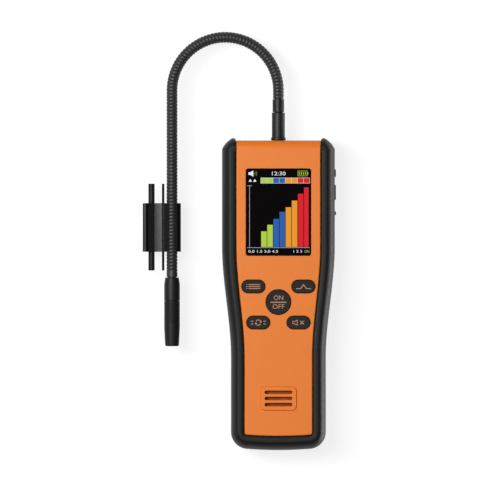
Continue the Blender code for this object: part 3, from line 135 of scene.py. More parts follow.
# The screen's readings, from the lower left corner of its lit area
BAR_COLORS = ("green", "green", "blue", "blue", "orange", "orange", "red", "red")
BAR_TOPS = (15.8, 20.1, 24.0, 28.7, 31.7, 36.1, 40.6, 44.8)
BAR_LEFT = 9.87
BAR_WIDTH = 3.65
BAR_PITCH = 4.04
BAR_LIMIT = 41.2  # the last bar is a little narrower
BASE_LINE = 5.2
LINE_WIDTH = 0.32
AXIS_X = 2.36
AXIS_TOP = 45.8
STRIP_LOW = 47.5
STRIP_HIGH = 51.2
STRIP_FRAME = 0.17
STRIP_LEFT = 9.7
STRIP_RIGHT = 42.0
BASE_MARGIN = 0.6
TICK = (0.7, 3.8)
SPEAKER_SIGN = ((1.5, 53.1), (2.6, 53.1), (4.7, 51.9), (4.7, 56.0), (2.6, 54.8), (1.5, 54.8))
SOUND_CENTER = (4.6, 53.95)
SOUND_ARCS = ((1.3, 50, 8), (2.4, 42, 10))  # radius, half the angle and steps
SOUND_LINE = 0.35
BATTERY_SIGN = (34.0, 52.3, 40.4, 55.8)
BATTERY_LINE = 0.3
BATTERY_TIP = (40.4, 53.4, 40.9, 54.7)
CELL_COUNT = 4
CELL_LEFT = 34.95
CELL_PITCH = 1.3
CELL_WIDTH = 0.55
CELL_LEVELS = (53.2, 54.9)
TRIANGLE_LEFTS = (1.6, 4.6)
TRIANGLE = ((0.0, 48.6), (2.2, 48.6), (1.1, 50.4))
SCREEN_WORDS = (  # colour, words, X, Y, width and height
    ("white", "12:30", 21.5, 54.0, 9.0, 2.5),
    ("white", "0.0 1.5 3.0 4.5", 11.2, 2.6, 19.5, 1.75),
    ("white", "1 2 3", 34.0, 2.6, 5.6, 1.75),
    ("green", "ON", 40.0, 2.6, 3.0, 1.75),
)

# Keys: name, X, Y, width and height
KEYS = (
    ("mode_key", -16.5, 5.9, 15.4, 8.5),
    ("peak_key", 16.5, 5.9, 15.4, 8.5),
    ("power_key", 0.0, -4.4, 16.4, 16.4),
    ("reset_key", -13.3, -17.9, 15.4, 8.5),
    ("mute_key", 13.3, -17.9, 15.4, 8.5),
)
KEY_TOP = 35.1
KEY_ROUND = 0.45
KEY_LAP = 0.8
KEY_FLANGE_TOP = 32.1
KEY_FLANGE_BOTTOM = 31.0
KEY_FOOT = 29.35
PLUNGER_WIDTH = 5.0
LEGEND_LEVELS = (35.08, 35.13)

# Signs on the keys, from the middle of each key
KEY_WORDS = (("ON", 2.9, 6.2), ("OFF", -2.9, 7.7))  # words, Y and width
KEY_WORD_HEIGHT = 3.0
DIVIDER = ((-5.35, -0.45), (5.35, -0.45), (5.35, 0.2), (-5.35, 0.2))
SIGN_LINE = 0.5
LIST_RISES = (-1.3, 0.0, 1.3)
LIST_DASHES = ((-3.3, 4.4, 0.5), (-4.6, -4.0, 0.6))  # left end, right end and width
PEAK = ((-4.9, -1.4), (-1.9, -1.4), (0.0, 1.3), (1.9, -1.4), (4.9, -1.4))
TURN_RADIUS = 1.75
TURN_ANGLES = (20, 150)
TURN_ARROW = ((1.85, -8), (2.65, 28), (0.85, 28))  # radius and angle of each corner
SIDE_DASH = (3.4, 4.9)
SIDE_DASH_RISE = 0.9
MUTE_CONE = ((-3.9, -0.75), (-2.7, -0.75), (-0.9, -1.6), (-0.9, 1.6), (-2.7, 0.75), (-3.9, 0.75),
             (-3.9, -0.75))
MUTE_CONE_LINE = 0.42
MUTE_CROSS = (((1.0, -1.2), (3.5, 1.2)), ((1.0, 1.2), (2.0, 0.24)), ((2.5, -0.24), (3.5, -1.2)))

# Grille
GRILLE_Y = -68.0
GRILLE_WIDTH = 24.4
GRILLE_HEIGHT = 16.3
GRILLE_RADIUS = 3.3
GRILLE_PLAN = (GRILLE_WIDTH, GRILLE_HEIGHT, GRILLE_RADIUS, 0.0, GRILLE_Y)
GRILLE_PROUD = 0.95
GRILLE_SLOPE = 0.65
GRILLE_EASE = 0.08
SLOT_COUNT = 3
SLOT_PITCH = 4.05
SLOT_WIDTH = 18.3
SLOT_HEIGHT = 2.3
SPEAKER_RING_INNER = 26.6
SPEAKER_RING_OUTER = 29.4
SPEAKER_RING_FOOT = 29.4

# Screw posts and bosses
SCREWS = [(side * x, y) for x, y in ((21.5, 93.0), (21.5, 18.5), (17.0, -85.5)) for side in (-1, 1)]
LOW_JOINT_Z = 14.0
UNDER_BOARD = 25.1
ON_BOARD = 27.3
SHANK_HOLE = 3.5
HEAD_HOLE = 6.0
POST_WIDTH = 8.4
BOSS_WIDTH = 6.4
RECESS_DEPTH = 9.0
RECESS_MOUTH = HEAD_HOLE + 3 * SEAM_ROUND
PILOT_END = 31.0
BATTERY_RIB_X = 17.3
BATTERY_RIB_THICKNESS = 1.5
BATTERY_RIB_TOP = 8.7
BATTERY_RIB_LOW_Y = -70.0
BATTERY_RIB_HIGH_Y = -30.0

# Right-hand side
SIDE_X = 37.3
PORT_Z = 22.0
PORT_FLAPS = (("jack_cover", 80.8, 4.9), ("usb_cover", 68.1, 9.9))
FLAP_HEIGHT = 6.4
FLAP_RADIUS = 1.0
FLAP_SINK = 0.6
FLAP_PROUD = 0.7
FLAP_ROUND = 0.35
JACK_HOLE = 4.2
USB_HOLE_WIDTH = 8.2
USB_HOLE_HEIGHT = 3.4
BUTTON_Y = 54.3
BUTTON_WIDTH = 2.5
BUTTON_PROUD = 0.8
BUTTON_LAP = 0.8
BUTTON_FLANGE = 0.9

# Gland and ferrule
NECK_Z = 18.0
GLAND_Y = 102.65
THREAD_WIDTH = 8.0
THREAD_LENGTH = 9.35
COLLAR_WIDTH = 9.8
COLLAR_LENGTH = 1.85
SLEEVE_WIDTH = 8.6
SLEEVE_LENGTH = 16.5
FERRULE_WIDTH = 7.7
FERRULE_LENGTH = 8.5
FERRULE_Y = 121.3
SPIGOT_WIDTH = 5.5
SPIGOT_LENGTH = 8.0
AIR_BORE = 2.6
SPIGOT = SPIGOT_WIDTH / 2
SOCKET = SPIGOT + GAP
BORE = AIR_BORE / 2

# Gooseneck
NECK_WIDTH = 7.3
GROOVE_DEPTH = 0.45
GROOVE_SHARPNESS = 3.4
RIDGE_PITCH = 2.23
RIDGE_STEPS = 10
ARCH_RADIUS = 35.2
ARCH_Y = 135.6
NECK_START_Y = 129.8
NECK_END_Y = 15.6
NECK_COLLAR = 3.5
NECK_SIDES = 28
NECK_X = -2 * ARCH_RADIUS
ROOT_RUN = 22.9  # where the root length of the arm ends
TIP_RUN = 224.5  # where the tip length begins

# Probe
PROBE_TOP_Y = 11.8
PROBE_NECK_WIDTH = 9.0
PROBE_WIDTH = 10.4
PROBE_TAPER = 4.6
HOLDER_LENGTH = 15.3
STEM_WIDTH = 7.2
STEM_LENGTH = 11.5
SEAL_GROOVE_TOP = 4.0
SEAL_GROOVE_FOOT = 5.4
SEAL_GROOVE_DEPTH = 0.7
SEAT_STEP = 0.3
SEAT_RISE = 0.22
CAP_TOP_Y = -3.8
CAP_LENGTH = 29.9
CAP_STRAIGHT = 16.2
CAP_TIP_WIDTH = 9.2
CAP_TAPER_POWER = 1.2
CAP_TAPER_STEPS = 8
CAP_TIP_ROUND = 1.0
CAP_WALL = 1.45
CAP_END_WALL = 3.0
INLET_WIDTH = 3.0
GRIP_RINGS = 12
GRIP_RING_PITCH = 1.2
GRIP_RING_DEPTH = 0.15
# Rise and depth of the corners of a grip ring, as shares of its depth
GRIP_RING_SHAPE = ((1 / 3, 0.0), (-1 / 3, 0.5), (-1.0, 1.0), (-5 / 3, 0.5), (-7 / 3, 0.0))

# Clip, tube and pin
CLIP_TOP = 61.0
CLIP_LENGTH = 32.2
CLIP_RIGHT = 5.9
CLIP_LEFT = -19.4
CLIP_BACK = -6.0
CLIP_CORNER = 3.0
CLIP_END_ROUND = 0.25
LIP_Z = 1.0
MOUTH_WIDTH = 4.8
ARM_HEIGHT = 3.6
LEFT_ARM_TOP = 3.75
LEFT_ARM_TIP = 3.3
LEFT_ARM_ROUND = 0.5
LEFT_ARM_START_ANGLE = 83.0
VALLEY_Z = 1.6
BAND_EDGE = (-6.7, 4.25)
BAND_RADIUS = 35.0
BAND_START_ANGLE = 100.0
BAND_END_ANGLE = 108.2
BAND_ROUND = 1.2
LOBE_RADIUS = 1.8
LOBE_Z = 1.7
LOBE_START_ANGLE = 20.0
ROD_LENGTH = 57.5
ROD_TOP = 73.9
ROD_Z = -1.5
TUBE_X = -13.6
TUBE_WIDTH = 4.2
TUBE_WALL = 0.6
PIN_X = -5.9
PIN_WIDTH = 1.6
PIN_EDGE = 0.25

# Fineness of the meshes, and how corners are treated
CORNER_STEPS = 14
WAIST_STEPS = 36
FOOT_STEPS = 12
TURNED_SIDES = 56
SLOT_STEPS = 20
WORD_STEPS = 5
SHARP_ANGLE = 32.0
SMALL_EDGE = 0.2  # rounding of small turned edges
EASE_SHARE = 0.45  # of a side, the most that rounding its corner may take
NEARLY_STRAIGHT = -0.94  # cosine between the sides of a corner that isn't rounded
LEAST_MITRE = 0.4

# Looks: grain, patches of shade and gloss, then the circuit board's and the lit screen's own
GRAIN_DETAIL = 3.0
PATCH_SIZE = 14.0
PATCH_DETAIL = 2.0
NOISE_LOW = 0.3
NOISE_HIGH = 0.7
GLOSS_SPREAD = 0.05
LEAST_ROUGHNESS = 0.02
MASK_GREEN = (0.02, 0.15, 0.06)
COPPER_GREEN = (0.05, 0.26, 0.11)
COPPER_SCALE = 260.0
COPPER_EDGE = (0.40, 0.46)
SCREEN_LOOK = {"Roughness": 0.12, "Specular IOR Level": 0.04, "Emission Strength": 0.68}
SCREEN_TINT = 0.30
PIXEL_SCALE = 900.0
PIXEL_SHADES = (0.93, 1.04)

ALONG_Y = Matrix.Rotation(-pi / 2, 4, "X")  # turns a piece's own Z to +Y
AGAINST_Y = Matrix.Rotation(pi / 2, 4, "X")  # turns its own Z to -Y and its own Y to +Z
ALONG_X = Matrix.Rotation(pi / 2, 4, "Y")

# Light and camera, in metres
CAMERA_LENS = 600.0
SENSOR_WIDTH = 36.0
FRAME_WIDTH = 0.3168
VIEW_X = -0.0254
VIEW_Y = 0.0366
FLOOR_SIZE = 30.0
FLOOR_DROP = 0.0004
FLOOR_COLOR = 0.22
FLOOR_GLOW = 0.82
# Height in the sky, from 0 at the horizon to 1 overhead, and brightness
SKY_LEVELS = ((0.0, 0.92), (0.04, 0.45), (0.30, 0.22), (0.75, 0.12), (1.0, 0.10))
LAMPS = (  # name, place, power, width and height
    ("top_light", (VIEW_X, VIEW_Y, 1.6), 2.3, 1.1, 1.1),
    ("key_light", (-0.66, 0.29, 1.41), 21.5, 0.40, 0.95),
    ("edge_light", (0.09, 0.02, 0.010), 0.15, 0.30, 0.020),
)
MIRRORED_ONLY = "edge_light"  # shows in reflections and lights nothing else
CAMERA_NEAR = 0.01
CAMERA_FAR = 50.0

tools = []  # shapes that settle() is still to cut out or join on


def srgb(red, green, blue):
    """A display colour, 0 to 255, in the linear values that Blender takes."""
    return tuple(
        (part / 255 / 12.92) if part <= 10 else ((part / 255 + 0.055) / 1.055) ** 2.4
        for part in (red, green, blue)
    )


def scaled(color, share):
    return tuple(min(part * share, 1.0) for part in color)


def add_object(name, data):
    made = bpy.data.objects.new(name, data)
    bpy.context.scene.collection.objects.link(made)
    return made


def set_inputs(tree, node, inputs):
    """Gives each input of a node its value, or a link where an output is given."""
    for name, given in inputs.items():
        if isinstance(given, bpy.types.NodeSocket):
            tree.links.new(given, node.inputs[name])
        else:
            node.inputs[name].default_value = given
    return node


def add_node(tree, kind, inputs):
    return set_inputs(tree, tree.nodes.new("ShaderNode" + kind), inputs)


def texture_place(tree, output="Object"):
    return tree.nodes.new("ShaderNodeTexCoord").outputs[output]


def add_noise(tree, vector, size_mm, detail):
    noise = add_node(tree, "TexNoise", {"Scale": 1.0 / (size_mm * MM), "Detail": detail, "Vector": vector})
    return noise.outputs["Fac"]


def add_math(tree, operation, first, second):
    node = add_node(tree, "Math", {0: first, 1: second})
    node.operation = operation
    return node.outputs["Value"]


def add_ramp(tree, value, stops):
    """A ramp through colours, each given with its place."""
    ramp = add_node(tree, "ValToRGB", {"Fac": value})
    elements = ramp.color_ramp.elements
    for place, _ in stops[1:-1]:
        elements.new(place)
    for element, (place, color) in zip(elements, stops):
        element.position = place
        element.color = (*color, 1.0)
    return ramp.outputs["Color"]


def new_material(name):
    """A material with its nodes and its shader."""
    made = bpy.data.materials.new(name)
    made.use_nodes = True
    return made, made.node_tree, made.node_tree.nodes["Principled BSDF"]


def finish(name, color, roughness, grain=0.4, depth=0.012, mottle=0.04, specular=0.5,
           metallic=0.0, stretch=(1.0, 1.0, 1.0)):
    """A moulded, turned or drawn finish: a grain of some size and depth in millimetres, a gloss
    that changes with it, and a shade that drifts a little over a centimetre or so."""
    made, tree, shader = new_material(name)
    place = texture_place(tree)
    mapping = add_node(tree, "Mapping", {"Scale": stretch, "Vector": place})
    fine = add_noise(tree, mapping.outputs["Vector"], grain, GRAIN_DETAIL)
    bump = add_node(tree, "Bump", {"Strength": 1.0, "Distance": depth * MM, "Height": fine})
    patches = add_noise(tree, place, PATCH_SIZE, PATCH_DETAIL)
    tone = add_ramp(tree, patches, ((NOISE_LOW, scaled(color, 1.0 - mottle)),
                                    (NOISE_HIGH, scaled(color, 1.0 + mottle))))
    gloss = add_node(tree, "MapRange", {
        "Value": fine, "From Min": NOISE_LOW, "From Max": NOISE_HIGH,
        "To Min": max(roughness - GLOSS_SPREAD, LEAST_ROUGHNESS), "To Max": roughness + GLOSS_SPREAD})
    set_inputs(tree, shader, {
        "Base Color": tone, "Metallic": metallic, "Roughness": gloss.outputs["Result"],
        "Specular IOR Level": specular, "Normal": bump.outputs["Normal"]})
    return made


def lit(name, color):
    """A lit patch of the screen, with the fine columns of its pixels."""
    made, tree, shader = new_material(name)
    columns = add_node(tree, "TexWave", {"Scale": PIXEL_SCALE, "Vector": texture_place(tree)})
    columns.bands_direction = "X"
    tone = add_ramp(tree, columns.outputs["Fac"],
                    [(place, scaled(color, share)) for place, share in enumerate(PIXEL_SHADES)])
    body = (*scaled(color, SCREEN_TINT), 1.0)
    set_inputs(tree, shader, {**SCREEN_LOOK, "Base Color": body, "Emission Color": tone})
    return made


def circuit(name):
    """Green solder mask with paler copper runs under it."""
    made = finish(name, MASK_GREEN, 0.45, 0.5, 0.01)
    tree = made.node_tree
    runs = add_node(tree, "TexVoronoi", {"Scale": COPPER_SCALE, "Vector": texture_place(tree)})
    runs.distance = "MANHATTAN"
    tone = add_ramp(tree, runs.outputs["Distance"], list(zip(COPPER_EDGE, (MASK_GREEN, COPPER_GREEN))))
    set_inputs(tree, tree.nodes["Principled BSDF"], {"Base Color": tone})
    return made


# Finishes: colour, roughness, size and depth of the grain, mottle, specular level and metallic
ORANGE = finish("orange_plastic_finish", (0.785, 0.192, 0.013), 0.40, 0.35, 0.005, 0.012, 0.32)
GRIP = finish("black_grip_finish", (0.0062, 0.0068, 0.0070), 0.50, 0.30, 0.006, 0.05, 0.21)
SHELL = finish("black_shell_finish", (0.016, 0.0165, 0.017), 0.48, 0.45, 0.020, 0.05, 0.2)
KEY_RUBBER = finish("key_rubber_finish", (0.0170, 0.0168, 0.0148), 0.62, 0.25, 0.008, 0.06, 0.15)
FLAP_RUBBER = finish("flap_rubber_finish", (0.012, 0.013, 0.013), 0.60, 0.25, 0.008, 0.05, 0.2)
WINDOW = finish("window_finish", (0.0014, 0.0008, 0.0010), 0.08, 6.0, 0.0, 0.0, 0.04)
LEGEND = finish("legend_print", srgb(196, 138, 108), 0.55, 0.20, 0.004, 0.03, 0.3)
CHROME = finish("dark_chrome_finish", (0.012, 0.012, 0.013), 0.28, 0.30, 0.001, 0.04, 0.10,
                stretch=(1.0, 0.05, 1.0))
PIN_BLACK = finish("pin_finish", (0.004, 0.004, 0.004), 0.45, 0.25, 0.004, 0.05, 0.06)
NECK_BLACK = finish("neck_finish", (0.013, 0.0144, 0.0141), 0.50, 0.30, 0.006, 0.08, 0.60)
SLEEVE_BLACK = finish("sleeve_finish", (0.006, 0.0068, 0.0068), 0.46, 0.28, 0.005, 0.06, 0.34)
PROBE_BLACK = finish("probe_finish", (0.007, 0.0078, 0.0075), 0.46, 0.28, 0.005, 0.06, 0.24)
CAP_BLACK = finish("probe_cap_finish", (0.009, 0.0102, 0.0096), 0.50, 0.28, 0.005, 0.06, 0.20)
CLIP_BLACK = finish("clip_finish", (0.002, 0.0022, 0.0022), 0.29, 0.35, 0.004, 0.05, 0.25)
# The speaker's front is a darkened orange: painted shade that stands in for the shaded orange recess seen
# down the grille slots
SPEAKER_SHADED_ORANGE = finish("speaker_painted_shade_finish", (0.34, 0.074, 0.014), 0.80, 0.35, 0.05, 0.08, 0.05)
SILICONE = finish("silicone_finish", (0.36, 0.36, 0.35), 0.55, 0.6, 0.010)
STEEL = finish("steel_finish", (0.56, 0.56, 0.57), 0.28, 0.25, 0.004, 0.04, 0.5, 1.0)
BRASS = finish("brass_finish", (0.62, 0.42, 0.16), 0.32, 0.25, 0.004, 0.04, 0.5, 1.0)
WRAP = finish("battery_wrap_finish", (0.03, 0.10, 0.30), 0.35, 3.0, 0.02)
FELT = finish("felt_finish", (0.74, 0.72, 0.66), 0.92, 0.12, 0.06)
BOARD = circuit("circuit_board_finish")
LIT = {name: lit("screen_" + name, srgb(*color)) for name, color in {
    "green": (176, 207, 72), "blue": (48, 98, 175), "orange": (236, 154, 48), "red": (220, 38, 46),
    "white": (238, 240, 242), "grey": (172, 170, 182), "dim_green": (112, 138, 86)}.items()}


def smoothstep(share):
    share = min(max(share, 0.0), 1.0)
    return share * share * (3.0 - 2.0 * share)


def arc(cx, cy, radius, start, end, steps=CORNER_STEPS):
    """Points on a circle from one angle to another, in degrees, with both ends."""
    angles = [radians(start + (end - start) * i / steps) for i in range(steps + 1)]
    return [(cx + radius * cos(a), cy + radius * sin(a)) for a in angles]


def circle(width, cx=0.0, cy=0.0, count=TURNED_SIDES):
    return arc(cx, cy, width / 2, -90, 270 - 360 / count, count - 1)


def obround(width, height, cx, cy, inset=0.0):
    """A slot with round ends, or a circle where it is as high as wide."""
    reach = (width - height) / 2
    radius = height / 2 - inset
    if reach <= 0:
        return circle(2 * radius, cx, cy, 2 * SLOT_STEPS + 2)
    right = arc(cx + reach, cy, radius, -90, 90, SLOT_STEPS)
    return right + arc(cx - reach, cy, radius, 90, 270, SLOT_STEPS)


def rounded_rectangle(width, height, radius, cx, cy, inset=0.0):
    """A rectangle with round corners, its sides moved inwards by inset."""
    x = width / 2 - radius
    y = height / 2 - radius
    return [point for corner_x, corner_y, start in ((x, -y, -90), (x, y, 0), (-x, y, 90), (-x, -y, 180))
            for point in arc(cx + corner_x, cy + corner_y, radius - inset, start, start + 90, steps=8)]


def half_width(y, inset):
    """Half the body's width at y, to a line that lies inset inside its edge."""
    head = HEAD_WIDTH / 2 - inset
    grip = GRIP_WIDTH / 2 - inset * GRIP_RIM_SHARE
    return grip + (head - grip) * smoothstep((y - WAIST_BOTTOM) / (WAIST_TOP - WAIST_BOTTOM))


def slanted_corner(x, y, size):
    """The upper corner at x, y: a long arc that leaves the side at an angle, size below the
    corner, then a short one round the tip."""
    share = size / HORN_DROP
    radius = HORN_RADIUS * share
    tip_radius = HORN_TIP_RADIUS * share
    cx = x - radius * cos(radians(HORN_START_ANGLE))
    cy = y - size - radius * sin(radians(HORN_START_ANGLE))
    turn = asin((y - tip_radius - cy) / (radius - tip_radius))
    tip = cx + (radius - tip_radius) * cos(turn)
    turn = degrees(turn)
    return (arc(cx, cy, radius, HORN_START_ANGLE, turn, steps=10)
            + arc(tip, y - tip_radius, tip_radius, turn, 90, steps=8)[1:])


def body_outline(inset, top, corner):
    """The body's plan, moved inwards by inset, with its upper edge at top. It starts at the
    middle of the lower edge and runs up the right-hand side."""
    low = -BODY_TOP + inset + BOTTOM_CROWN
    foot = max(FOOT_RADIUS - inset, LEAST_RADIUS)
    grip = half_width(WAIST_BOTTOM, inset)
    head = half_width(WAIST_TOP, inset)
    rise = (WAIST_TOP - WAIST_BOTTOM) / WAIST_STEPS
    waist = [WAIST_BOTTOM + rise * i for i in range(WAIST_STEPS + 1)]
    shares = [i / FOOT_STEPS for i in range(1, FOOT_STEPS)]
    right = [((grip - foot) * s, low - BOTTOM_CROWN * (1 - s * s)) for s in shares]
    right += arc(grip - foot, low + foot, foot, -90, 0)
    right += [(half_width(y, inset), y) for y in waist]
    right += slanted_corner(head, top, corner)
    left = [(-x, y) for x, y in reversed(right)]
    return [(0.0, low - BOTTOM_CROWN), *right, *left]


def shell_outline(top, inset):
    """An outline whose upper edge moves inwards with the others."""
    return body_outline(inset, top - inset, max(HORN_DROP - inset, LEAST_RADIUS))


def panel_outline(top, inset):
    """An outline whose upper edge stays where it is put, with tight corners."""
    return body_outline(inset, top, EDGE_BREAK)


def eased(points, radius=SMALL_EDGE, closed=True, steps=4):
    """A profile with its corners rounded, apart from those that hardly turn."""
    made = []
    count = len(points)
    for i, (x, y) in enumerate(points):
        here = Vector((x, y))
        back = Vector(points[i - 1]) - here
        ahead = Vector(points[(i + 1) % count]) - here
        at_end = not closed and i in (0, count - 1)
        if at_end or back.normalized().dot(ahead.normalized()) < NEARLY_STRAIGHT:
            made.append((x, y))
            continue
        reach = min(radius, EASE_SHARE * back.length, EASE_SHARE * ahead.length)
        first = here + back.normalized() * reach
        last = here + ahead.normalized() * reach
        for s in range(steps + 1):
            t = s / steps
            made.append(tuple(first * (1 - t) ** 2 + here * (2 * t * (1 - t)) + last * t ** 2))
    return made


def drawn_in(points, inset):
    """An outline, drawn anticlockwise, moved inwards by a small step."""
    made = []
    count = len(points)
    for i, (x, y) in enumerate(points):
        along = Vector(points[(i + 1) % count]) - Vector(points[i - 1])
        along.normalize()
        made.append((x - along.y * inset, y + along.x * inset))
    return made


def flat(points, z):
    return [(x, y, z) for x, y in points]


def sideways(points, x):
    """An outline drawn in Y and Z, standing across X."""
    return [(x, y, z) for y, z in points]


def stacked(levels, outline, *sizes, place=flat):
    """Rings of an outline that takes some sizes and an inset, one for each inset and height."""
    return [place(outline(*sizes, inset), height) for inset, height in levels]


def quarter(steps, last=90.0):
    """Angles of a quarter turn, in radians."""
    return [radians(last * i / steps) for i in range(steps + 1)]


def rounding(width, depth, top, steps, last=90.0):
    """Levels round an edge, each an inset and a height: from the side, a depth below the top,
    to the top, a width further in. A depth below zero rounds an edge that faces down."""
    return [(width * (1 - cos(a)), top - depth * (1 - sin(a))) for a in quarter(steps, last)]


def add_loft(shape, rings, closed=False):
    """A closed surface through rings of equally many points, capped or joined end to end."""
    loops = [[shape.verts.new(point) for point in ring] for ring in rings]
    pairs = list(zip(loops, loops[1:]))
    if closed:
        pairs.append((loops[-1], loops[0]))
    for lower, upper in pairs:
        for i in range(len(lower)):
            j = (i + 1) % len(lower)
            shape.faces.new((lower[i], lower[j], upper[j], upper[i]))
    if not closed:
        shape.faces.new(loops[0])
        shape.faces.new(loops[-1])
    return shape


def loft(rings, closed=False):
    return add_loft(bmesh.new(), rings, closed)


def add_prism(shape, points, low, high):
    return add_loft(shape, [flat(points, low), flat(points, high)])


def add_box(shape, low, high):
    outline = [(low[0], low[1]), (high[0], low[1]), (high[0], high[1]), (low[0], high[1])]
    return add_prism(shape, outline, low[2], high[2])


def add_cylinder(shape, width, low, high, x=0.0, y=0.0):
    """A cylinder along Z."""
    return add_prism(shape, circle(width, x, y), low, high)


def turned(profile, ring=False, sides=TURNED_SIDES):
    """A profile of radius and height turned about Z, with flat ends where it isn't a ring."""
    return loft([flat(circle(2 * radius, count=sides), height) for radius, height in profile], ring)


def along_y(x, y, z=NECK_Z):
    """Where a turned piece lies along Y, from a place on its line."""
    return Matrix.Translation((x, y, z)) @ ALONG_Y


def as_mesh(name, shape, place):
    bmesh.ops.transform(shape, matrix=Matrix.Diagonal((MM, MM, MM, 1.0)) @ place, verts=shape.verts)
    bmesh.ops.recalc_face_normals(shape, faces=shape.faces)
    mesh = bpy.data.meshes.new(name)
    shape.to_mesh(mesh)
    shape.free()
    return add_object(name, mesh)


def shade(made):
    """Smooth shading that keeps flat faces flat and sharp edges sharp."""
    made.data.shade_smooth()
    made.data.set_sharp_from_angle(angle=radians(SHARP_ANGLE))
    normals = made.modifiers.new("normals", "WEIGHTED_NORMAL")
    normals.keep_sharp = True
    return made


def piece(name, shape, material, body, nodes=(), place=Matrix.Identity(4)):
    """A finished piece that rides on a body and stands for the CAD nodes named."""
    made = as_mesh(name, shape, place)
    made.data.materials.append(material)
    if body:
        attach(made, body)
    if nodes:
        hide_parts(*nodes)
    return shade(made)


def cut(target, shape, place=Matrix.Identity(4), operation="DIFFERENCE"):
    """Cuts a shape out of a piece."""
    tool = as_mesh("tool", shape, place)
    tools.append(tool)
    modifier = target.modifiers.new("combine", "BOOLEAN")
    modifier.operation = operation
    modifier.solver = "EXACT"
    modifier.object = tool


def join(target, shape):
    """Joins a shape onto a piece."""
    cut(target, shape, operation="UNION")


def finished_mesh(made):
    """An object's mesh as its modifiers or its lettering make it."""
    bpy.context.view_layer.update()
    graph = bpy.context.evaluated_depsgraph_get()
    return bpy.data.meshes.new_from_object(made.evaluated_get(graph))


def settle(made):
    """Applies a piece's cuts and joins, and removes the tools."""
    made.modifiers.remove(made.modifiers["normals"])
    mesh = finished_mesh(made)
    made.modifiers.clear()
    made.data = mesh
    while tools:
        bpy.data.objects.remove(tools.pop(), do_unlink=True)
    return shade(made)


def lipped(top, lip, clearance, outline, *sizes):
    """Rings of a cutter for an opening in the face that is rounded at its upper edge."""
    levels = [(0.0, FACE_UNDER - PAST), *rounding(-lip, lip, top, steps=5, last=LIP_ANGLE),
              (-LIP_FLARE * lip, top + lip / 4), (-LIP_FLARE * lip, top + PAST)]
    return stacked([(inset - clearance, height) for inset, height in levels], outline, *sizes)


def rear_cover():
    """The back tray with its posts, ribs and deep screw recesses."""
    section = [
        *reversed(rounding(BACK_ROUND_WIDTH, -BACK_ROUND_DEPTH, 0.0, steps=12)),
        (0.0, REAR_DEPTH - SEAM_ROUND),
        (SEAM_ROUND, REAR_DEPTH),
        (LIP_INSET, REAR_DEPTH),
        (LIP_INSET, REAR_DEPTH + LIP_HEIGHT),
        (LIP_INSET + LIP_WALL, REAR_DEPTH + LIP_HEIGHT),
        (REAR_WALL, REAR_FLOOR + FLOOR_FILLET),
        (REAR_WALL + FLOOR_FILLET, REAR_FLOOR),
    ]
    cover = piece("rear_cover_shell", loft(stacked(section, shell_outline, BODY_TOP)), SHELL, "housing",
                  ("rear_cover",))
    join(cover, head_block(REAR_FLOOR, NECK_Z - GAP / 2))
    posts = bmesh.new()
    holes = bmesh.new()
    for x, y in SCREWS:
        top = LOW_JOINT_Z if y < 0 else UNDER_BOARD
        add_cylinder(posts, POST_WIDTH, REAR_FLOOR / 2, top, x, y)
        levels = ((RECESS_MOUTH, -PAST), (RECESS_MOUTH, -SEAM_ROUND / 2), (HEAD_HOLE, SEAM_ROUND),
                  (HEAD_HOLE, RECESS_DEPTH), (SHANK_HOLE, RECESS_DEPTH), (SHANK_HOLE, top + PAST))
        add_loft(holes, [flat(circle(width, x, y), z) for width, z in levels])
    join(cover, posts)
    ribs = bmesh.new()
    for side in (-1, 1):
        ends = sorted((side * BATTERY_RIB_X, side * (BATTERY_RIB_X + BATTERY_RIB_THICKNESS)))
        add_box(ribs, (ends[0], BATTERY_RIB_LOW_Y, REAR_FLOOR / 2),
                (ends[1], BATTERY_RIB_HIGH_Y, BATTERY_RIB_TOP))
    join(cover, ribs)
    cut(cover, holes)
    cut(cover, neck_seat())
    settle(cover)


def head_block(low, high):
    """The solid upper end of a cover, which holds the gland."""
    return add_box(bmesh.new(), (-HEAD_HALF, CAVITY_TOP_Y, low), (HEAD_HALF, BODY_TOP, high))


def neck_seat():
    """The round hole for the gland, which both covers share."""
    ring = circle(THREAD_WIDTH + 2 * GAP, 0.0, NECK_Z)
    return loft([[(x, y, z) for x, z in ring] for y in (CAVITY_TOP_Y - PAST, BODY_TOP + PAST)])


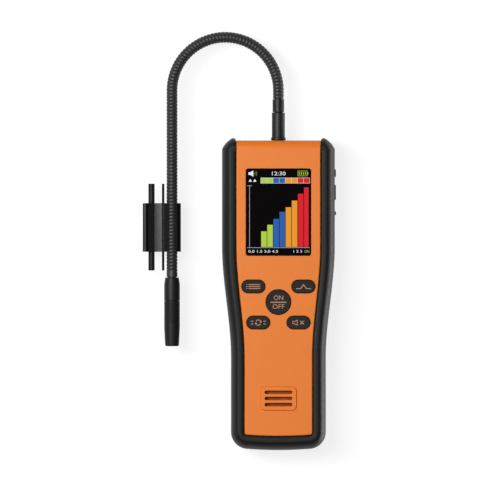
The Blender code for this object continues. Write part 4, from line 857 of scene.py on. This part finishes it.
def grip_frame():
    """The black rim: one section swept round the plan, opened between the horns at the top."""
    power = 2 / RIM_SQUARENESS
    shoulder = [(CREST_INSET + (RIM_WIDTH - CREST_INSET) * sin(a) ** power,
                 RIM_EDGE_Z + RIM_DROP * max(cos(a), 0.0) ** power) for a in quarter(12)[1:]]
    section = [(SEAM_ROUND, FRAME_BOTTOM), (0.0, FRAME_BOTTOM + SEAM_ROUND),
               *rounding(CREST_INSET, CREST_Z - FRAME_SIDE_TOP, CREST_Z, steps=20), *shoulder,
               (RIM_WIDTH, RIM_FOOT_Z), (RIM_WIDTH - RIM_UNDERCUT, RIM_FOOT_Z),
               (FRAME_WALL, FRAME_SIDE_TOP), (FRAME_WALL, FRAME_BOTTOM)]
    horn_top = BODY_TOP + HORN_RISE
    rim = piece("grip_frame_rim", loft(stacked(section, shell_outline, horn_top), closed=True), GRIP,
                "housing", ("grip_frame",))
    opening = half_width(WAIST_TOP, RIM_WIDTH) + EDGE_BREAK / 4
    tip = opening + HORN_TIP_RADIUS
    side = [(opening, BODY_TOP - FLANGE_END_DROP),
            *arc(tip, horn_top - HORN_TIP_RADIUS, HORN_TIP_RADIUS, 180, 90, steps=8),
            (tip, horn_top + PAST)]
    gap = side + [(-x, y) for x, y in reversed(side)]
    cut(rim, add_prism(bmesh.new(), gap, -PAST, CREST_Z + PAST))
    recesses = bmesh.new()
    outlines = [circle(BUTTON_WIDTH + 2 * GAP, BUTTON_Y, PORT_Z)]
    for name, y, length in PORT_FLAPS:
        seat = rounded_rectangle(length, FLAP_HEIGHT, FLAP_RADIUS, y, PORT_Z, -GAP)
        add_loft(recesses, [sideways(seat, SIDE_X - FLAP_SINK - GAP), sideways(seat, SIDE_X + PAST)])
        outlines.append(circle(JACK_HOLE, y, PORT_Z) if name == "jack_cover"
                        else obround(USB_HOLE_WIDTH, USB_HOLE_HEIGHT, y, PORT_Z))
    holes = bmesh.new()
    for outline in outlines:
        add_loft(holes, [sideways(outline, x) for x in (SIDE_X - FRAME_WALL - PAST, SIDE_X + PAST)])
    cut(rim, recesses)
    cut(rim, holes)
    settle(rim)


def front_cover():
    """The orange cover with its rounded edge, grille pad and lipped openings."""
    levels = [(0.0, FLANGE_BOTTOM), *rounding(FACE_EDGE_ROUND, FACE_EDGE_ROUND, FACE_Z, steps=7)]
    rings = [flat(panel_outline(BODY_TOP, PANEL_INSET + inset), z) for inset, z in levels]
    cover = piece("front_cover_moulding", loft(rings), ORANGE, "housing",
                  ("front_cover",))
    flange = panel_outline(BODY_TOP - FLANGE_END_DROP - GAP, PANEL_INSET - FLANGE_LAP - GAP)
    join(cover, add_prism(bmesh.new(), flange, FLANGE_BOTTOM, FLANGE_TOP))
    join(cover, head_block(NECK_Z + GAP / 2, FACE_Z - FACE_EDGE_ROUND))
    cavity = panel_outline(CAVITY_TOP_Y, CAVITY_INSET)
    cut(cover, add_prism(bmesh.new(), cavity, FLANGE_BOTTOM - PAST, FACE_UNDER))
    crown = arc(BODY_TOP - TOP_ROUND, FACE_Z - TOP_ROUND, TOP_ROUND, 0, 90)
    outside = [(BODY_TOP - TOP_ROUND, FACE_Z + PAST), (BODY_TOP + PAST, FACE_Z + PAST),
               (BODY_TOP + PAST, FACE_Z - TOP_ROUND)]
    cut(cover, loft([sideways(crown + outside, x) for x in (-HEAD_HALF - PAST, HEAD_HALF + PAST)]))
    join(cover, cover_bosses())
    join(cover, grille_pad())
    cut(cover, face_openings())
    cut(cover, add_columns(bmesh.new(), SHANK_HOLE, PAST, PILOT_END))
    cut(cover, neck_seat())
    settle(cover)


def add_columns(shape, width, past, top):
    """A column at each screw, from the foot of its boss, or from past it, to a top."""
    for x, y in SCREWS:
        foot = LOW_JOINT_Z + GAP if y < 0 else ON_BOARD
        add_cylinder(shape, width, foot - past, top, x, y)
    return shape


def cover_bosses():
    """Screw bosses and the ring that the speaker sits in."""
    ceiling = (FACE_Z + FACE_UNDER) / 2
    shape = add_columns(bmesh.new(), BOSS_WIDTH, 0.0, ceiling)
    inner = circle(SPEAKER_RING_INNER, 0.0, GRILLE_Y)
    outer = circle(SPEAKER_RING_OUTER, 0.0, GRILLE_Y)
    return add_loft(shape, [flat(outer, SPEAKER_RING_FOOT), flat(outer, ceiling), flat(inner, ceiling),
                            flat(inner, SPEAKER_RING_FOOT)], closed=True)


def grille_pad():
    """The raised pad round the slots, with a sloping edge."""
    top = FACE_Z + GRILLE_PROUD
    levels = ((0.0, FACE_Z - GRILLE_PROUD), (0.0, FACE_Z), (GRILLE_SLOPE - GRILLE_EASE, top - GRILLE_EASE),
              (GRILLE_SLOPE, top))
    return loft(stacked(levels, rounded_rectangle, *GRILLE_PLAN))


def face_openings():
    """The display's opening, an opening for each key and the slots of the grille."""
    shape = bmesh.new()
    add_loft(shape, lipped(FACE_Z, OPENING_LIP, GAP, rounded_rectangle, *WINDOW_PLAN))
    for _, x, y, width, height in KEYS:
        add_loft(shape, lipped(FACE_Z, OPENING_LIP, GAP, obround, width, height, x, y))
    top = FACE_Z + GRILLE_PROUD
    for i in range(SLOT_COUNT):
        y = GRILLE_Y + SLOT_PITCH * (i - (SLOT_COUNT - 1) / 2)
        add_loft(shape, lipped(top, SLOT_LIP, 0.0, obround, SLOT_WIDTH, SLOT_HEIGHT, 0.0, y))
    return shape


def display_window():
    """The glossy window with a fine rounded edge and its hidden flange."""
    levels = [(-WINDOW_LAP, WINDOW_LAP_BOTTOM), (-WINDOW_LAP, WINDOW_LAP_TOP), (0.0, WINDOW_LAP_TOP),
              *rounding(WINDOW_EDGE, WINDOW_EDGE, WINDOW_FRONT, steps=4)]
    piece("display_glass", loft(stacked(levels, rounded_rectangle, *WINDOW_PLAN)), WINDOW, "housing",
          ("display_window",))


def moved(points, x, y):
    return [(x + px, y + py) for px, py in points]


def add_words(shape, words, x, y, width, height, low, high):
    """Lettering in Blender's own font, centred at a place and fitted to a width and height."""
    curve = bpy.data.curves.new("words", "FONT")
    curve.body = words
    curve.extrude = 1.0  # any thickness, because that is fitted too
    curve.resolution_u = WORD_STEPS
    holder = add_object("words", curve)
    mesh = finished_mesh(holder)
    bpy.data.objects.remove(holder, do_unlink=True)
    least = [min(v.co[i] for v in mesh.vertices) for i in range(3)]
    most = [max(v.co[i] for v in mesh.vertices) for i in range(3)]
    start = (x - width / 2, y - height / 2, low)
    size = (width, height, high - low)
    for vertex in mesh.vertices:
        vertex.co = [start[i] + size[i] * (vertex.co[i] - least[i]) / (most[i] - least[i])
                     for i in range(3)]
    shape.from_mesh(mesh)
    bpy.data.meshes.remove(mesh)
    return shape


def stroke(points, width):
    """The outline of a line of some width."""
    left = []
    right = []
    for i, point in enumerate(points):
        here = Vector(point)
        ahead = (Vector(points[i + 1]) - here).normalized() if i < len(points) - 1 else None
        back = (here - Vector(points[i - 1])).normalized() if i > 0 else ahead
        ahead = ahead or back
        along = (back + ahead).normalized()
        reach = width / 2 / max(along.dot(ahead), LEAST_MITRE)
        side = Vector((-along.y, along.x)) * reach
        left.append(tuple(here + side))
        right.append(tuple(here - side))
    return left + right[::-1]


def screen():
    """The lit readings: bars, a coloured strip, axes, small symbols and plain numbers."""
    shapes = {name: bmesh.new() for name in LIT}

    def mark(color, points):
        add_prism(shapes[color], moved(points, SCREEN_X, SCREEN_Y), *SCREEN_LEVELS)

    def box(color, x0, y0, x1, y1):
        mark(color, [(x0, y0), (x1, y0), (x1, y1), (x0, y1)])

    def border(color, line, x0, y0, x1, y1):
        box(color, x0, y0, x1, y0 + line)
        box(color, x0, y1 - line, x1, y1)
        for left in (x0, x1 - line):
            box(color, left, y0 + line, left + line, y1 - line)

    low = STRIP_LOW + STRIP_FRAME
    high = STRIP_HIGH - STRIP_FRAME
    pitch = (STRIP_RIGHT - STRIP_LEFT) / len(BAR_COLORS)
    for i, (color, top) in enumerate(zip(BAR_COLORS, BAR_TOPS)):
        left = BAR_LEFT + BAR_PITCH * i
        box(color, left, BASE_LINE + LINE_WIDTH, min(left + BAR_WIDTH, BAR_LIMIT), top)
        left = STRIP_LEFT + pitch * i
        box(color, left, low, left + pitch - STRIP_FRAME, high)
        if i > 0:
            box("white", left - STRIP_FRAME, low, left, high)
    border("white", STRIP_FRAME, STRIP_LEFT - STRIP_FRAME, STRIP_LOW, STRIP_RIGHT, STRIP_HIGH)
    box("grey", BASE_MARGIN, BASE_LINE - LINE_WIDTH, WINDOW_WIDTH - BASE_MARGIN, BASE_LINE)
    box("grey", AXIS_X - LINE_WIDTH, BASE_LINE, AXIS_X, AXIS_TOP)
    box("grey", TICK[0], AXIS_TOP, TICK[1], AXIS_TOP + LINE_WIDTH)
    mark("white", SPEAKER_SIGN)
    for radius, half, steps in SOUND_ARCS:
        mark("dim_green", stroke(arc(*SOUND_CENTER, radius, -half, half, steps), SOUND_LINE))
    border("green", BATTERY_LINE, *BATTERY_SIGN)
    box("green", *BATTERY_TIP)
    for i in range(CELL_COUNT):
        left = CELL_LEFT + CELL_PITCH * i
        box("green", left, CELL_LEVELS[0], left + CELL_WIDTH, CELL_LEVELS[1])
    for left in TRIANGLE_LEFTS:
        mark("white", moved(TRIANGLE, left, 0.0))
    for color, words, x, y, width, height in SCREEN_WORDS:
        add_words(shapes[color], words, SCREEN_X + x, SCREEN_Y + y, width, height, *SCREEN_LEVELS)
    for name in sorted(shapes):
        piece("screen_" + name + "_marks", shapes[name], LIT[name], "housing")


def key_cap(name, x, y, width, height):
    """A key cap with a rounded edge, its flange and its plunger."""
    plunger = obround(PLUNGER_WIDTH, PLUNGER_WIDTH, x, y)
    levels = [(-KEY_LAP, KEY_FLANGE_BOTTOM), (-KEY_LAP, KEY_FLANGE_TOP), (0.0, KEY_FLANGE_TOP),
              *rounding(KEY_ROUND, KEY_ROUND, KEY_TOP, steps=6)]
    rings = [flat(plunger, KEY_FOOT), flat(plunger, KEY_FLANGE_BOTTOM),
             *stacked(levels, obround, width, height, x, y)]
    piece(name + "_cap", loft(rings), KEY_RUBBER, name, (name,))


def turn_sign():
    """Two arrows that turn about the middle of a key, and two dashes on each side of them."""
    outlines = []
    for turn in (0, 180):
        start, end = TURN_ANGLES
        outlines.append(stroke(arc(0.0, 0.0, TURN_RADIUS, turn + start, turn + end, steps=16), SIGN_LINE))
        outlines.append([arc(0.0, 0.0, radius, turn + angle, turn + angle, steps=1)[0]
                         for radius, angle in TURN_ARROW])
    for side in (-1, 1):
        for rise in (-SIDE_DASH_RISE, SIDE_DASH_RISE):
            outlines.append(stroke([(side * x, rise) for x in SIDE_DASH], SIGN_LINE))
    return outlines


def legends():
    """ON and OFF on the round key, and a plain sign on each of the others."""
    places = {name: (x, y) for name, x, y, _, _ in KEYS}
    signs = {
        "power_key": [DIVIDER],
        "mode_key": [stroke([(left, rise), (right, rise)], width)
                     for rise in LIST_RISES for left, right, width in LIST_DASHES],
        "peak_key": [stroke(PEAK, SIGN_LINE)],
        "reset_key": turn_sign(),
        "mute_key": [stroke(MUTE_CONE, MUTE_CONE_LINE), *(stroke(line, SIGN_LINE) for line in MUTE_CROSS)],
    }
    for name, outlines in signs.items():
        x, y = places[name]
        shape = bmesh.new()
        for outline in outlines:
            add_prism(shape, moved(outline, x, y), *LEGEND_LEVELS)
        if name == "power_key":
            for words, rise, width in KEY_WORDS:
                add_words(shape, words, x, y + rise, width, KEY_WORD_HEIGHT, *LEGEND_LEVELS)
        piece(name + "_legend", shape, LEGEND, name)


def port_flap(name, y, length):
    """A rubber flap with a rounded face, in its recess."""
    levels = [(0.0, SIDE_X - FLAP_SINK), *rounding(FLAP_ROUND, FLAP_ROUND, SIDE_X + FLAP_PROUD, steps=5)]
    rings = stacked(levels, rounded_rectangle, length, FLAP_HEIGHT, FLAP_RADIUS, y, PORT_Z, place=sideways)
    piece(name + "_flap", loft(rings), FLAP_RUBBER, name, (name,))


def side_button():
    radius = BUTTON_WIDTH / 2
    back = -FRAME_WALL - GAP
    profile = [(radius - EDGE_BREAK, BUTTON_PROUD), (radius, BUTTON_PROUD - EDGE_BREAK), (radius, back),
               (radius + BUTTON_LAP, back), (radius + BUTTON_LAP, back - BUTTON_FLANGE)]
    place = Matrix.Translation((SIDE_X, BUTTON_Y, PORT_Z)) @ ALONG_X
    piece("side_button_cap", turned(eased(profile, closed=False)), FLAP_RUBBER, "side_button",
          ("side_button",), place)


def neck_gland():
    """The threaded gland with its long sleeve."""
    thread = THREAD_WIDTH / 2
    collar = COLLAR_WIDTH / 2
    sleeve = SLEEVE_WIDTH / 2
    top = COLLAR_LENGTH + SLEEVE_LENGTH
    floor = top - SPIGOT_LENGTH - GAP
    profile = [(SOCKET, top), (sleeve, top), (sleeve, COLLAR_LENGTH), (collar, COLLAR_LENGTH),
               (collar, 0.0), (thread, 0.0), (thread, -THREAD_LENGTH), (BORE, -THREAD_LENGTH),
               (BORE, floor), (SOCKET, floor)]
    piece("gland_sleeve", turned(eased(profile, EDGE_BREAK), ring=True), SLEEVE_BLACK, "housing",
          ("neck_gland",), along_y(0.0, GLAND_Y))


def neck_ferrule():
    outer = FERRULE_WIDTH / 2
    shelf = FERRULE_LENGTH - SPIGOT_LENGTH - GAP
    profile = [(SOCKET, FERRULE_LENGTH), (outer, FERRULE_LENGTH), (outer, 0.0), (SPIGOT, 0.0),
               (SPIGOT, -SPIGOT_LENGTH), (BORE, -SPIGOT_LENGTH), (BORE, shelf), (SOCKET, shelf)]
    piece("ferrule_ring", turned(eased(profile, EDGE_BREAK), ring=True), SLEEVE_BLACK, "housing",
          ("neck_ferrule",), along_y(0.0, FERRULE_Y))


def neck_course(run):
    """Place and direction on the gooseneck's centreline, a run from the ferrule's end."""
    rise = ARCH_Y - NECK_START_Y
    if run <= rise:
        return Vector((0.0, NECK_START_Y + run, NECK_Z)), Vector((0.0, 1.0, 0.0))
    angle = (run - rise) / ARCH_RADIUS
    if angle < pi:
        place = Vector((ARCH_RADIUS * (cos(angle) - 1), ARCH_Y + ARCH_RADIUS * sin(angle), NECK_Z))
        return place, Vector((-sin(angle), cos(angle), 0.0))
    fall = run - rise - pi * ARCH_RADIUS
    return Vector((NECK_X, ARCH_Y - fall, NECK_Z)), Vector((0.0, -1.0, 0.0))


def neck_radius(run, angle):
    """The arm's radius: one groove that winds along it as a screw thread does."""
    phase = (run / RIDGE_PITCH + angle / (2 * pi)) % 1.0
    from_groove = abs(phase - 0.5) * 2
    return NECK_WIDTH / 2 - GROOVE_DEPTH * (1 - from_groove) ** GROOVE_SHARPNESS


def neck_rings(stations):
    """Rings along the arm, each at a run with a plain radius, or None where it is grooved."""
    rings = []
    for run, radius in stations:
        place, ahead = neck_course(run)
        across = ahead.cross(Vector((0.0, 0.0, 1.0)))
        ring = []
        for i in range(NECK_SIDES):
            angle = 2 * pi * (i + 0.5) / NECK_SIDES
            reach = radius if radius else neck_radius(run, angle)
            ring.append(place + reach * (across * cos(angle) + Vector((0.0, 0.0, sin(angle)))))
        rings.append(ring)
    return rings


def neck_piece(name, stations, body):
    return piece(name, loft(neck_rings(stations)), NECK_BLACK, body, ("gooseneck",))


def gooseneck():
    """The ridged arm in three lengths: its root and its tip, which ride on no body, and the length between
    them, which rides on the neck and keeps its arch."""
    length = (ARCH_Y - NECK_START_Y) + pi * ARCH_RADIUS + (ARCH_Y - NECK_END_Y)
    steps = round(length / RIDGE_PITCH * RIDGE_STEPS)
    runs = [GAP + (length - GAP) * i / steps for i in range(steps + 1)]
    crest = NECK_WIDTH / 2
    end = length + NECK_COLLAR
    root_end = min(runs, key=lambda run: abs(run - ROOT_RUN))
    tip_start = min(runs, key=lambda run: abs(run - TIP_RUN))
    root = [(-SPIGOT_LENGTH, SPIGOT), (GAP, SPIGOT), *((run, None) for run in runs if run <= root_end)]
    middle = [(run, None) for run in runs if root_end <= run <= tip_start]
    tip = [(run, None) for run in runs if run >= tip_start]
    tip += [(length + GAP, crest), (end - GAP, crest), (end, crest - GAP), (end, SPIGOT),
            (end + SPIGOT_LENGTH, SPIGOT)]
    made = neck_piece("gooseneck_root", root, None)
    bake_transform(made)
    neck_piece("gooseneck_arch", middle, "neck")
    made = neck_piece("gooseneck_tip", tip, None)
    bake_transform(made)


def clip_outline():
    """The clip's section in X and Z about the arm's axis, anticlockwise: two arms that close
    over the arm, a sloping band, a valley over the tube and a lobe at the far edge."""
    channel = NECK_WIDTH / 2 + GAP
    mouth = MOUTH_WIDTH / 2
    opening = degrees(acos(mouth / channel))
    reach = CLIP_RIGHT - mouth
    right_arm = [(mouth + reach * cos(a), ARM_HEIGHT * sin(a)) for a in quarter(12)]
    left_arm = [(-mouth, LEFT_ARM_TIP),
                *arc(LEFT_ARM_ROUND - CLIP_RIGHT, LEFT_ARM_TOP - LEFT_ARM_ROUND, LEFT_ARM_ROUND,
                     LEFT_ARM_START_ANGLE, 180, steps=6)]
    lobe_x = CLIP_LEFT + LOBE_RADIUS
    corner = CLIP_CORNER / 2
    start = radians(BAND_START_ANGLE)
    end = radians(BAND_END_ANGLE)
    band = arc(BAND_EDGE[0] - BAND_RADIUS * cos(start), BAND_EDGE[1] - BAND_RADIUS * sin(start),
               BAND_RADIUS, BAND_START_ANGLE, BAND_END_ANGLE, steps=8)
    round_x = band[-1][0] - BAND_ROUND * cos(end)
    round_z = band[-1][1] - BAND_ROUND * sin(end)
    return [
        *arc(CLIP_RIGHT - corner, CLIP_BACK + corner, corner, -90, 0, steps=8),
        *right_arm,
        *arc(0.0, 0.0, channel, opening, -180 - opening, steps=40),
        *left_arm,
        (-CLIP_RIGHT, LIP_Z),
        (BAND_EDGE[0], LIP_Z),
        *band,
        *arc(round_x, round_z, BAND_ROUND, BAND_END_ANGLE, 180, steps=8)[1:],
        (round_x - BAND_ROUND, VALLEY_Z),
        *arc(lobe_x, LOBE_Z, LOBE_RADIUS, LOBE_START_ANGLE, 180, steps=12),
        *arc(CLIP_LEFT + CLIP_CORNER, CLIP_BACK + CLIP_CORNER, CLIP_CORNER, 180, 270, steps=10),
    ]


def clip():
    """The moulded clip with its tube and its pin, drawn downwards from its upper end."""
    levels = [*reversed(rounding(CLIP_END_ROUND, -CLIP_END_ROUND, 0.0, steps=3)),
              *rounding(CLIP_END_ROUND, CLIP_END_ROUND, CLIP_LENGTH, steps=3)]
    place = Matrix.Translation((NECK_X, CLIP_TOP, NECK_Z)) @ AGAINST_Y
    block = piece("clip_moulding", loft(stacked(levels, drawn_in, clip_outline())), CLIP_BLACK, "clip",
                  ("clip_block",), place)
    holes = bmesh.new()
    for x, width in ((TUBE_X, TUBE_WIDTH), (PIN_X, PIN_WIDTH)):
        add_cylinder(holes, width + 2 * GAP, -PAST, CLIP_LENGTH + PAST, x, ROD_Z)
    cut(block, holes, place)
    settle(block)
    outer = TUBE_WIDTH / 2
    inner = outer - TUBE_WALL
    tube = [(outer, 0.0), (outer, -ROD_LENGTH), (inner, -ROD_LENGTH), (inner, 0.0)]
    piece("clip_tube_chrome", turned(eased(tube), ring=True), CHROME, "clip",
          ("clip_tube",), along_y(NECK_X + TUBE_X, ROD_TOP, NECK_Z + ROD_Z))
    rod = PIN_WIDTH / 2
    pin = [(rod / 2, 0.0), (rod, 0.0), (rod, -ROD_LENGTH), (rod / 2, -ROD_LENGTH)]
    piece("clip_pin_rod", turned(eased(pin, PIN_EDGE, closed=False), sides=32), PIN_BLACK, "clip",
          ("clip_pin",), along_y(NECK_X + PIN_X, ROD_TOP, NECK_Z + ROD_Z))


def probe_holder():
    """The probe's handle: a socket for the arm, and a stem inside the cap."""
    outer = PROBE_WIDTH / 2
    stem = STEM_WIDTH / 2
    groove = stem - SEAL_GROOVE_DEPTH
    shelf = -SPIGOT_LENGTH - GAP
    foot = -HOLDER_LENGTH
    tip = foot - STEM_LENGTH
    profile = [
        (SOCKET, 0.0), (PROBE_NECK_WIDTH / 2, 0.0), (outer, -PROBE_TAPER), (outer, foot),
        (outer - SEAT_STEP, foot), (outer - SEAT_STEP, foot - SEAT_RISE), (stem, foot - SEAT_RISE),
        (stem, foot - SEAL_GROOVE_TOP), (groove, foot - SEAL_GROOVE_TOP),
        (groove, foot - SEAL_GROOVE_FOOT), (stem, foot - SEAL_GROOVE_FOOT), (stem, tip), (BORE, tip),
        (BORE, shelf), (SOCKET, shelf),
    ]
    piece("probe_handle", turned(eased(profile), ring=True), PROBE_BLACK, "probe",
          ("probe_holder",), along_y(NECK_X, PROBE_TOP_Y))


def probe_cap():
    """The screw-on cap with its grip rings, tapered to a rounded end with the air inlet."""
    outer = PROBE_WIDTH / 2
    tip = CAP_TIP_WIDTH / 2
    wide = STEM_WIDTH / 2 + GAP
    narrow = tip - CAP_WALL
    inlet = INLET_WIDTH / 2
    end = -CAP_LENGTH
    rings = [(outer - GRIP_RING_DEPTH * depth, GRIP_RING_DEPTH * rise - GRIP_RING_PITCH * (i + 1))
             for i in range(GRIP_RINGS) for rise, depth in GRIP_RING_SHAPE]
    nose = [(tip - inset, end - height)
            for inset, height in rounding(CAP_TIP_ROUND, CAP_TIP_ROUND, 0.0, steps=10)]
    fall = CAP_LENGTH - CAP_STRAIGHT - CAP_TIP_ROUND
    shares = [s / CAP_TAPER_STEPS for s in range(CAP_TAPER_STEPS)]
    waist = [(outer + (tip - outer) * share ** CAP_TAPER_POWER, -CAP_STRAIGHT - fall * share)
             for share in shares]
    profile = [
        (wide, 0.0), (outer - EDGE_BREAK / 3, 0.0), (outer, -EDGE_BREAK / 3), *rings, *waist, *nose,
        (inlet, end), (inlet, end + CAP_END_WALL), (narrow, end + CAP_END_WALL),
        (narrow, -CAP_STRAIGHT - PAST), (wide, -CAP_STRAIGHT + PAST / 2),
    ]
    piece("probe_cap_sleeve", turned(profile, ring=True), CAP_BLACK, "probe_cap",
          ("probe_cap",), along_y(NECK_X, CAP_TOP_Y))


INNER_FINISHES = {
    # The speaker takes the darkened orange that paints the shade inside the grille slots
    "display_module": SHELL, "keypad_mat": SILICONE, "main_board": BOARD, "speaker": SPEAKER_SHADED_ORANGE,
    "battery_pack": WRAP, "gas_cell": STEEL, "air_pump": SHELL, "sample_hose": SILICONE,
    "pump_hose": SILICONE, "usb_port": STEEL, "earphone_jack": SHELL, "side_switch": SHELL,
    "gland_nut": BRASS, "probe_seal": GRIP, "probe_filter": FELT,
}


def dress_inner_nodes():
    """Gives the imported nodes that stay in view, or show through a gap, their finishes."""
    for name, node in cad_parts.items():
        material = STEEL if name.startswith("case_screw") else INNER_FINISHES.get(name)
        if material is None:
            continue
        if not node.material_slots:
            node.data.materials.append(material)
        for place in node.material_slots:
            place.material = material


def floor_paper():
    """Plain paper to the light, and white to the camera and in what reflects it."""
    material, tree, _ = new_material("floor_paper")
    tree.nodes.clear()
    paper = add_node(tree, "BsdfDiffuse", {"Color": (FLOOR_COLOR, FLOOR_COLOR, FLOOR_COLOR, 1.0)})
    path = tree.nodes.new("ShaderNodeLightPath").outputs
    seen = path["Is Camera Ray"]
    for ray in ("Is Glossy Ray", "Is Transmission Ray"):
        seen = add_math(tree, "MAXIMUM", seen, path[ray])
    glow = add_node(tree, "Emission", {"Strength": add_math(tree, "MULTIPLY", seen, FLOOR_GLOW)})
    both = add_node(tree, "AddShader", {0: paper.outputs["BSDF"], 1: glow.outputs["Emission"]})
    add_node(tree, "OutputMaterial", {"Surface": both.outputs["Shader"]})
    return material


def pale_floor():
    half = FLOOR_SIZE / 2
    mesh = bpy.data.meshes.new("floor")
    corners = [(x, y, -FLOOR_DROP) for x, y in ((-half, -half), (half, -half), (half, half), (-half, half))]
    mesh.from_pydata(corners, [], [(0, 1, 2, 3)])
    mesh.materials.append(floor_paper())
    add_object("floor", mesh)


def sky():
    """A world that is pale at the horizon and dimmer overhead."""
    world = bpy.data.worlds.new("studio_sky")
    world.use_nodes = True
    bpy.context.scene.world = world
    tree = world.node_tree
    split = add_node(tree, "SeparateXYZ", {"Vector": texture_place(tree, "Generated")})
    stops = [(height, (level, level, level)) for height, level in SKY_LEVELS]
    set_inputs(tree, tree.nodes["Background"], {"Color": add_ramp(tree, split.outputs["Z"], stops)})


def studio():
    """A pale floor and sky, a soft light from above, one from the upper left, a low card of
    light at the right that only reflections show, and the camera."""
    pale_floor()
    sky()
    for lamp in LAMPS:
        add_lamp(*lamp)
    camera = bpy.data.cameras.new("camera")
    camera.lens = CAMERA_LENS
    camera.sensor_width = SENSOR_WIDTH
    camera.clip_start = CAMERA_NEAR
    camera.clip_end = CAMERA_FAR
    holder = add_object("camera", camera)
    holder.location = (VIEW_X, VIEW_Y, FACE_Z * MM + FRAME_WIDTH * CAMERA_LENS / SENSOR_WIDTH)
    bpy.context.scene.camera = holder
    bpy.context.scene.view_settings.view_transform = "Standard"


def add_lamp(name, place, power, width, height):
    """A soft rectangular lamp that faces the middle of the object."""
    lamp = bpy.data.lights.new(name, "AREA")
    lamp.shape = "RECTANGLE"
    lamp.size = width
    lamp.size_y = height
    lamp.energy = power
    holder = add_object(name, lamp)
    holder.location = place
    towards = Vector((VIEW_X, VIEW_Y, NECK_Z * MM)) - Vector(place)
    holder.rotation_euler = towards.to_track_quat("-Z", "Y").to_euler()
    holder.visible_diffuse = name != MIRRORED_ONLY


rear_cover()
grip_frame()
front_cover()
display_window()
screen()
for entry in KEYS:
    key_cap(*entry)
legends()
for entry in PORT_FLAPS:
    port_flap(*entry)
side_button()
neck_gland()
neck_ferrule()
gooseneck()
clip()
probe_holder()
probe_cap()
dress_inner_nodes()
studio()
